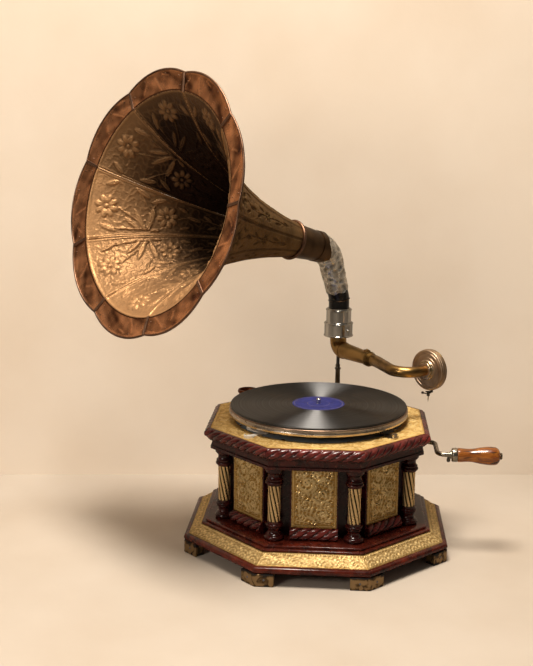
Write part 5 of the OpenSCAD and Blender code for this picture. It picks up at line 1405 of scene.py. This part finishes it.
    def sleeve(self) -> None:
        """Foil wrapped a little over once round the elbow, crumpled, with a jagged hem and one long corner."""
        rows, turns = 100, 160
        v = np.linspace(0, 1, rows)[:, None]
        u = np.linspace(0, 1, turns)[None, :]
        jag = np.abs((v * 6.0) % 1 * 2 - 1) - 0.5
        a = math.radians(95) + u * (2 * math.pi * 1.1 + 0.12 * jag + 0.7 * (v - 0.5))
        hem = np.abs((a / (2 * math.pi) * 7) % 1 * 2 - 1) - 0.5
        corner = np.clip(1 - np.abs(a - 2 * math.pi - 2.2) / 0.4, 0, 1)
        d = self.sleeve_start + (3 * hem - 8 * corner) * (1 - v) ** 3 + (self.elbow_len - self.sleeve_start) * v
        arc_len = a * 18
        folds = curling(arc_len + 0.5 * d, d, 26.0, 8.0, 6)
        crumple = 0.4 * soft_noise(arc_len, d, 13.0, 5.0) + 0.9 * folds
        size = self.elbow_size(d) + 0.75 * u + 0.9 * np.clip(crumple, -0.4, 1)
        outer, inner = (self.wrapped(d, a, size + thick) for thick in (0.75, 0.3))
        # Folds are brighter and the creases between them darker: painted glints and painted shade on the crumpled foil.
        tone = np.clip(0.5 + 0.7 * crumple, 0, 1)
        both = np.concatenate([outer, inner[:, ::-1]], 1)
        ends = [Patch(np.stack([outer[i], inner[i]], 0)) for i in (0, rows - 1)]
        make_piece("foil_sleeve", [tube_patch(both, 0, np.concatenate([tone, tone[:, ::-1]], 1)), *ends],
                   [Look.PEWTER], "elbow_sleeve")

    def cuff(self) -> None:
        """Bronze cuff where the throat begins, its hem drawn out to a tongue on the lower side."""
        rows, turns = 12, 96
        v = np.linspace(0, 1, rows)[:, None]
        a = round_angles(turns)[None, :]
        off = (a - 0.9 + math.pi) % (2 * math.pi) - math.pi
        hem = 1.0 + 16.0 * np.clip(1 - np.abs(off) / 0.9, 0, 1)
        d = self.elbow_len - hem * (1 - v) + 9 * v
        r = self.elbow_end_r + 2.6 + 0.25 * np.sin(7 * a) * (1 - v)
        grids = [self.wrapped(d, a + 0 * v, r + thick) for thick in (0.0, -0.7)]
        make_piece("throat_cuff", [ring_patch(np.concatenate([grids[0], grids[1][::-1]], 0))],
                   [Look.THROAT], "horn_throat", replaces=False)

    def petal_relief(self, w: Array, q: Array, half: Array, k: int) -> tuple[Array, Array]:
        """Embossing of one petal: three blossoms, sprays of leaves on stems and double ribs at its edges.

        Args:
            w: places across the petal, in millimetres from its middle.
            q: places along it, from the fold inwards.
            half: half its width there.
            k: number of the petal.
        Returns:
            Heights of the flowers and of the combed lines between them from 0 to 1, and heights of the ribs.
        """
        v = w if k % 2 == 0 else -w
        found = [flower(v, q, *row) for row in PETAL_FLOWERS] + [leaf(v, q, *row) for row in PETAL_LEAVES]
        found += [0.7 * ridge(v, q, curve(*stem, 60), 0.9) for stem in PETAL_STEMS]
        combed = curling(v + 0.4 * q, q, 17.0, 1.0 + k, 6)
        found.append(0.3 * combed * np.clip((q - 6) / 8, 0, 1))
        flowers = np.maximum.reduce(found)
        inset = half - np.abs(w)
        gap = np.minimum(0.045 * half + 0.8, 2.9)
        ribs = np.maximum(0.8 * rounded((inset - gap) ** 2 / 0.8), rounded(inset ** 2 / 1.2))
        hem = 0.7 * rounded((q - 1.6) ** 2 / 2.0)
        flowers = flowers * np.clip((inset - gap - 1.5) / 2.0, 0, 1) * np.clip((q - 3) / 3.0, 0, 1)
        return flowers, np.maximum(ribs * np.clip((q - 0.5) / 2, 0, 1), hem)

    def petal(self, k: int) -> None:
        """One petal of sheet: inside and outside both follow the flare, lifted inwards by the embossing.

        Painted shade inside grows with the distance from the fold and with the petal's height round the horn.

        Args:
            k: number of the petal.
        """
        rows, across = 220, 88
        fine = self.bead_s + (self.petal_len - 0.3) * np.linspace(0, 1, 2000)
        length = np.concatenate([[0.0], np.cumsum(np.hypot(np.diff(self.flare(fine)[0]), np.diff(fine)))])
        along = np.linspace(0, length[-1], rows)
        s = np.interp(along, length, fine)[:, None]
        q = (length[-1] - along)[:, None]
        u = np.linspace(-1, 1, across)[None, :]
        r, slope = self.flare(s)
        steep = np.sqrt(1 + slope ** 2)
        wide = self.petal_angle / 2 - self.seam_gap
        a = self.seam + self.petal_angle * (k + 0.5) + wide * u
        half = wide * r
        flowers, ribs = self.petal_relief(half * u, q + 0 * u, half + 0 * u, k)
        depth = np.clip(r / 60, 0.35, 1.0)
        uneven = 0.5 * soft_noise(half * u + 40 * k, q + 0 * u, 57.0, 1.0 + k)
        lift = depth * (self.flower_lift * flowers + self.rib_lift * ribs + uneven * np.clip(q / 20, 0, 1))
        grids = []
        for depth_in in (self.sheet, 0.0):
            move = lift + depth_in
            grids.append(self.about_axis(r - move / steep, a + 0 * s, s + move * slope / steep))
        raised = np.clip(np.maximum(flowers, 0.8 * ribs), 0, 1)
        # Darker deeper into the horn and on the higher petals: painted shade of the horn's inside.
        spoke = self.about_axis(np.array([0.0, 1.0]), np.full(2, self.seam + self.petal_angle * (k + 0.5)), np.zeros(2))
        petal_painted_shade = 0.6 * np.clip(q / 150, 0, 1) + 0.5 * max(0.0, spoke[1, 2] - spoke[0, 2])
        inside = Patch(grids[0], 0, False, False, np.clip(0.7 + 0.3 * raised - petal_painted_shade, 0, 1))
        outside = Patch(grids[1][:, ::-1], 1, False, False, 1 - 0.8 * raised[:, ::-1])
        edges = [Patch(np.stack([grids[0][:, i], grids[1][:, i]], 1), 1) for i in (0, across - 1)]
        ends = [Patch(np.stack([grids[0][i], grids[1][i]], 1), 1) for i in (0, rows - 1)]
        make_piece(f"horn_petal_{k + 1}", [inside, outside, *edges, *ends], [Look.HORN_IN, Look.HORN_OUT],
                   "horn_petals", crease=70.0)

    def lip_edge(self, off: Array) -> Array:
        """Radius of the scalloped edge at an angle from a petal's middle: a circle set off the axis."""
        outer = self.lip_seam_r + self.scallop
        near = self.lip_seam_r * math.cos(self.petal_angle / 2)
        centre = (self.lip_seam_r ** 2 - outer ** 2) / (2 * (near - outer))
        return centre * np.cos(off) + np.sqrt((outer - centre) ** 2 - (centre * np.sin(off)) ** 2)

    def lip(self) -> None:
        """Copper lip: nine dished bands with dents and creases, a rolled wire round the edge, tabs and dots."""
        rows, across = 28, 60
        half = self.petal_angle / 2 - self.seam_gap
        b = np.linspace(0, 1, rows)[:, None]
        off = np.linspace(-half, half, across)[None, :]
        inner = self.fold_r - self.sheet
        edge = self.lip_edge(off)
        r = inner + (edge - inner) * b
        patches = []
        for k in range(self.petals):
            mid = self.seam + self.petal_angle * (k + 0.5)
            w, p = r * off, r - inner
            dent_and_highlight = 0.55 * soft_noise(w + 50 * k, r, 44.0, 3.0 + k) + 0.3 * soft_noise(w, r + 9 * k, 17.0, k)
            start = (k * 37) % 60 - 36
            # Creases add to the dents; in the tone they become painted highlight streaks.
            for first, last in (((start, 3), (start + 11, 20)), ((start + 30, 16), (start + 36, 7)),
                                ((start - 16, 20), (start - 4, 23))):
                dent_and_highlight = dent_and_highlight + 0.7 * ridge(w, p, curve(first, np.add(first, last) / 2 + [1.5, 0], last), 1.5)
            s = self.fold_s + self.lip_rise * p - 1.1 * np.sin(math.pi * b) + dent_and_highlight * np.sin(math.pi * b)
            front = self.about_axis(r, mid + off + 0 * b, s + self.sheet)
            rear = self.about_axis(r, mid + off + 0 * b, s)
            # Tone rises with the dents at random and on the creases as painted highlight streaks; the bright line near
            # the rim is a painted highlight and the dark strip along the fold is painted shade.
            tone = np.clip(0.42 + 0.6 * dent_and_highlight + 0.4 * np.exp(-((b - 0.9) / 0.035) ** 2) - 1.0 * (p < 1.5), 0, 1)
            loop = np.concatenate([front, rear[::-1]], 0)
            patches.append(Patch(loop, 0, True, False, np.concatenate([tone, tone[::-1]], 0)))
            patches += [Patch(np.stack([front[:, i], rear[:, i]], 1)) for i in (0, across - 1)]
        make_piece("scalloped_lip", patches, [Look.LIP], "horn_lip", crease=50.0)
        self.lip_wire()
        self.lip_tabs()
        self.lip_dots()

    def lip_wire(self) -> None:
        """Rolled wire: a small circle carried round the scalloped edge."""
        count = 540
        a = round_angles(count)
        off = a % self.petal_angle - self.petal_angle / 2
        edge = self.lip_edge(off)[:, None]
        turn = round_angles(10)[None, :]
        r = edge - 0.6 + self.wire_r * np.cos(turn)
        s = self.fold_s + self.lip_rise * (edge - self.fold_r) + 0.4 + self.wire_r * np.sin(turn)
        make_piece("lip_edge_wire", [ring_patch(self.about_axis(r, self.seam + a[:, None] + 0 * turn, s))],
                   [Look.LIP_WIRE], "horn_lip", replaces=False)

    def lip_tabs(self) -> None:
        """Folded tab over each seam of the lip: a narrow strip, crowned across its width."""
        rows, across = 12, 9
        b = np.linspace(0, 1, rows)[:, None]
        u = np.linspace(-1, 1, across)[None, :]
        inner, outer = self.fold_r - 2.0, self.lip_seam_r - 0.5
        r = inner + (outer - inner) * b + 0 * u
        patches = []
        for k in range(self.petals):
            lean = 0.012 * ((k * 7) % 5 - 2)
            a = self.seam + self.petal_angle * k + self.tab_w * u / r + lean * (b - 0.5)
            base = self.fold_s + self.sheet + self.lip_rise * (r - self.fold_r)
            crown = 0.25 + 0.95 * rounded(u ** 4) - 0.4 * np.exp(-(u / 0.16) ** 2)
            top, low = self.about_axis(r, a, base + crown), self.about_axis(r, a, base - 1.4)
            patches.append(tube_patch(np.concatenate([top, low[:, ::-1]], 1)))
            patches += [Patch(np.stack([top[i], low[i]], 1)) for i in (0, rows - 1)]
        make_piece("lip_seam_tabs", patches, [Look.LIP_WIRE], "horn_lip", replaces=False)

    def lip_dots(self) -> None:
        """Punched dots near both edges of each band of the lip."""
        spots = []
        for k in range(self.petals):
            mid = self.seam + self.petal_angle * (k + 0.5)
            for share, depth in ((-0.85, 0.25), (0.86, 0.5), (-0.3, 0.8), (0.42, 0.78), (-0.78, 0.72)):
                off = np.array([share * self.petal_angle / 2])
                r = self.fold_r + (self.lip_edge(off) - self.fold_r) * depth
                s = self.fold_s + self.sheet + self.lip_rise * (r - self.fold_r) - 0.9 * math.sin(math.pi * depth)
                spots.append(self.about_axis(r, mid + off, s)[0])
        spots = np.array(spots)
        heads = domes(spots, np.tile(self.axis, (len(spots), 1)), radius=1.0, height=0.8)
        make_piece("lip_dots", heads, [Look.LIP_WIRE], "horn_lip", replaces=False)


@dataclass
class Crank:
    """Cranked rod with its bush, wing and wooden grip."""

    y: float = 18.0
    z: float = 142.5
    reach: float = 58.0
    grip_x: float = 194.6
    grip_len: float = 59.0
    grip_r: float = 12.5
    waist_r: float = 9.4
    ferrule_l: float = 8.0
    bore_r: float = 3.36

    def build(self) -> None:
        """Makes and dresses the crank's pieces."""
        soften("crank", Look.WORN_NICKEL)
        soften("crank_bush", Look.NICKEL, edge=0.3)
        self.grip()
        self.wing()

    def at_pin(self, grid: Array) -> Array:
        """Lays a turned grid along the grip's pin, its height running outwards."""
        origin = (self.grip_x, self.y - self.reach, self.z)
        return placed(grid, origin, np.array([0.0, 1.0, 0.0]), np.array([0.0, 0.0, 1.0]), np.array([1.0, 0.0, 0.0]))

    def grip(self) -> None:
        """Turned grip: a slight waist that swells to a round end, behind a plain ferrule with eased edges."""
        t = np.linspace(0, 1, 26)
        x = 4 + (self.grip_len - self.grip_r - 4) * t
        swell = self.waist_r + 0.3 - 0.7 * np.sin(math.pi * np.clip(t / 0.6, 0, 1)) + (
            self.grip_r - self.waist_r - 0.1) * (0.5 - 0.5 * np.cos(math.pi * np.clip((t - 0.25) / 0.75, 0, 1)))
        start = np.concatenate([[[self.bore_r, 0.0]], arc(self.waist_r - 0.9, 1.2, 1.2, -90, 0, 5)])
        tip = arc(self.grip_r - 8.0, self.grip_len - 9.0, 8.0, 8, 78, 9)
        wood = np.concatenate([start, np.stack([swell, x], -1), tip, [[self.bore_r, self.grip_len]]])
        r, low = self.waist_r + 0.2, -self.ferrule_l
        ferrule = np.concatenate([[[self.bore_r, low]], arc(r - 1.8, low + 1.8, 1.8, -90, 0, 6),
                                  arc(r - 1.4, -1.4, 1.4, 0, 90, 6), [[self.bore_r, 0.0]]])
        make_piece("turned_grip", [ring_patch(self.at_pin(turned(wood, 56))),
                                   ring_patch(self.at_pin(turned(ferrule, 56)), 1)],
                   [Look.GRIP, Look.WORN_NICKEL], "crank_grip", crease=35.0)

    def wing(self) -> None:
        """Small clamping wing under the rod: a flattened drop whose upper end meets the rod."""
        a = np.linspace(0, math.pi, 14)[:, None]
        b = round_angles(18)[None, :]
        wide = 2.6 * (1 + 0.35 * np.cos(a))
        x, y, z = wide * np.sin(a) * np.cos(b), 1.6 * np.sin(a) * np.sin(b), -4.4 * np.cos(a) + 0 * b
        drop = np.stack([x - 12.0, y, z - 6.4], -1) + [self.grip_x, self.y - self.reach, self.z]
        make_piece("clamp_wing", [tube_patch(drop)], [Look.DARK_STEEL], "crank", replaces=False)


@dataclass
class Motor:
    """The spring motor inside the case."""

    def build(self) -> None:
        """Dresses the motor's pieces."""
        dress(Look.STEEL, "motor_top_plate", "motor_bottom_plate", "motor_pillars", "governor_bearings",
              "winding_arbor", "governor_shaft")
        dress(Look.GEAR, "intermediate_gears", "spring_barrel", "barrel_cover", "governor_weights")
        dress(Look.SPRING, "mainspring")


@dataclass
class Studio:
    """Pale floor and wall, soft lamps and the camera."""

    eye: tuple[float, float, float] = (38.2, -1525.7, 614.3)
    right: tuple[float, float, float] = (0.9971, 0.0756, 0.0081)
    up: tuple[float, float, float] = (-0.0231, 0.1998, 0.9796)
    focal_px: float = 1108.0
    frame_px: float = 666.0
    wall_left: tuple[float, float] = (-540.9, 221.8)
    wall_right: tuple[float, float] = (361.1, 311.7)
    stage_far: float = 6000.0
    aim: tuple[float, float, float] = (0.0, 0.0, 250.0)
    key_at: tuple[float, float, float] = (-150.0, -450.0, 2200.0)
    fill_at: tuple[float, float, float] = (-1100.0, -1500.0, 900.0)
    glow: float = 0.13
    mirrored_glow: float = 0.05
    seen_glow: float = 0.8

    def build(self) -> None:
        """Makes the stage, the lamps and the camera."""
        self.camera()
        self.stage()
        self.lamps()

    def camera(self) -> None:
        """Camera at the photograph's place, its long side on the full sensor."""
        data = bpy.data.cameras.new("camera")
        data.sensor_width = 36.0
        data.lens = 36.0 * self.focal_px / self.frame_px
        data.clip_end = 50.0
        obj = bpy.data.objects.new("camera", data)
        right, up = Vector(self.right).normalized(), Vector(self.up)
        back = right.cross(up).normalized()
        up = back.cross(right)
        turn = Matrix((right, up, back)).transposed().to_4x4()
        obj.matrix_world = Matrix.Translation(Vector(self.eye) * MM) @ turn
        bpy.context.scene.collection.objects.link(obj)
        bpy.context.scene.camera = obj

    def sheet(self, name: str, corners: Array, tone: str, mottle: str, dim: float, glow: float,
              see_through: bool) -> None:
        """One flat stage sheet with faint mottling; the wall is clear from behind.

        Args:
            name: the sheet's name.
            corners: four corners, in millimetres.
            tone: its colour.
            mottle: the colour of its mottling.
            dim: how much darker its mirror image is.
            glow: how much of its colour shows without any lamp.
            see_through: whether its back lets the camera through.
        """
        mesh = bpy.data.meshes.new(name)
        mesh.from_pydata((corners * MM).tolist(), [], [[0, 1, 2, 3]])
        tree = Tree(name)
        ray = tree.node("LightPath")
        cover = tree.blend(tree.span(tree.noise(5.0, 6.0), 0.35, 0.7), tone, mottle)
        cover = tree.blend(tree.sum("MULTIPLY", ray.outputs["Is Glossy Ray"], dim), cover, "000000")
        shown = tree.sum("MAXIMUM", ray.outputs["Is Camera Ray"], ray.outputs["Is Glossy Ray"])
        tree.set(Base_Color=cover, Roughness=0.9, Normal=tree.bump(tree.noise(160.0, 5.0), 0.4, 0.25),
                 Emission_Color=cover, Emission_Strength=tree.sum("MULTIPLY", shown, glow))
        if see_through:
            mix = tree.node("MixShader", {0: tree.node("NewGeometry").outputs["Backfacing"], 1: tree.shader.outputs[0],
                                          2: tree.node("BsdfTransparent").outputs[0]})
            tree.feed(tree.nodes["Material Output"], {"Surface": mix.outputs[0]})
        mesh.materials.append(tree.material)
        obj = bpy.data.objects.new(name, mesh)
        bpy.context.scene.collection.objects.link(obj)

    def stage(self) -> None:
        """A wide floor, and a wall that stands on it behind the object."""
        far = self.stage_far
        floor = np.array([[-far, -far, 0], [far, -far, 0], [far, far, 0], [-far, far, 0]])
        left, right = np.array([*self.wall_left, 0.0]), np.array([*self.wall_right, 0.0])
        along = (right - left) / np.linalg.norm(right - left) * far
        rise = np.array([0, 0, far])
        wall = np.stack([left - along, right + along, right + along + rise, left - along + rise])
        self.sheet("floor", floor, "cfc2b2", "c7b8a6", dim=0.65, glow=0.0, see_through=False)
        self.sheet("wall", wall, "d6c6b2", "d0bea8", dim=0.5, glow=0.33, see_through=True)

    def lamp(self, name: str, place: Sequence[float], size: float, power: float, tone: str) -> None:
        """One square soft lamp that faces the object.

        Args:
            name: the lamp's name.
            place: where it hangs, in millimetres.
            size: length of its side.
            power: its power in watts.
            tone: its colour.
        """
        data = bpy.data.lights.new(name, "AREA")
        data.shape = "SQUARE"
        data.size = size * MM
        data.energy = power
        data.color = linear(tone)[:3]
        obj = bpy.data.objects.new(name, data)
        obj.location = Vector(place) * MM
        obj.rotation_mode = "QUATERNION"
        obj.rotation_quaternion = (Vector(self.aim) - Vector(place)).to_track_quat("-Z", "Y")
        bpy.context.scene.collection.objects.link(obj)

    def lamps(self) -> None:
        """A strong lamp high above the front, a weak one low at the left, and an even glow."""
        self.lamp("key", self.key_at, size=650, power=57.0, tone="fff6ea")
        self.lamp("fill", self.fill_at, size=450, power=8.0, tone="fff4e8")
        world = bpy.data.worlds.new("glow")
        world.use_nodes = True
        nodes, links = world.node_tree.nodes, world.node_tree.links
        back = nodes["Background"]
        back.inputs["Color"].default_value = linear("e6e0d8")
        ray, level, sky = (nodes.new("ShaderNode" + kind) for kind in ("LightPath", "MapRange", "Mix"))
        level.inputs[3].default_value, level.inputs[4].default_value = self.glow, self.mirrored_glow
        sky.inputs["B"].default_value = self.seen_glow
        links.new(ray.outputs["Is Glossy Ray"], level.inputs[0])
        links.new(ray.outputs["Is Camera Ray"], sky.inputs["Factor"])
        links.new(level.outputs[0], sky.inputs["A"])
        links.new(sky.outputs["Result"], back.inputs["Strength"])
        bpy.context.scene.world = world
        bpy.context.scene.view_settings.view_transform = "Standard"


def main() -> None:
    """Builds the stage and every sub-assembly in order."""
    logging.basicConfig(level=logging.INFO, format="%(name)s: %(message)s")
    for part in (Studio(), Cabinet(), Turntable(), Arm(), Horn(), Crank(), Motor()):
        LOG.info("building %s", type(part).__name__)
        part.build()


if __name__ == "__main__":
    main()
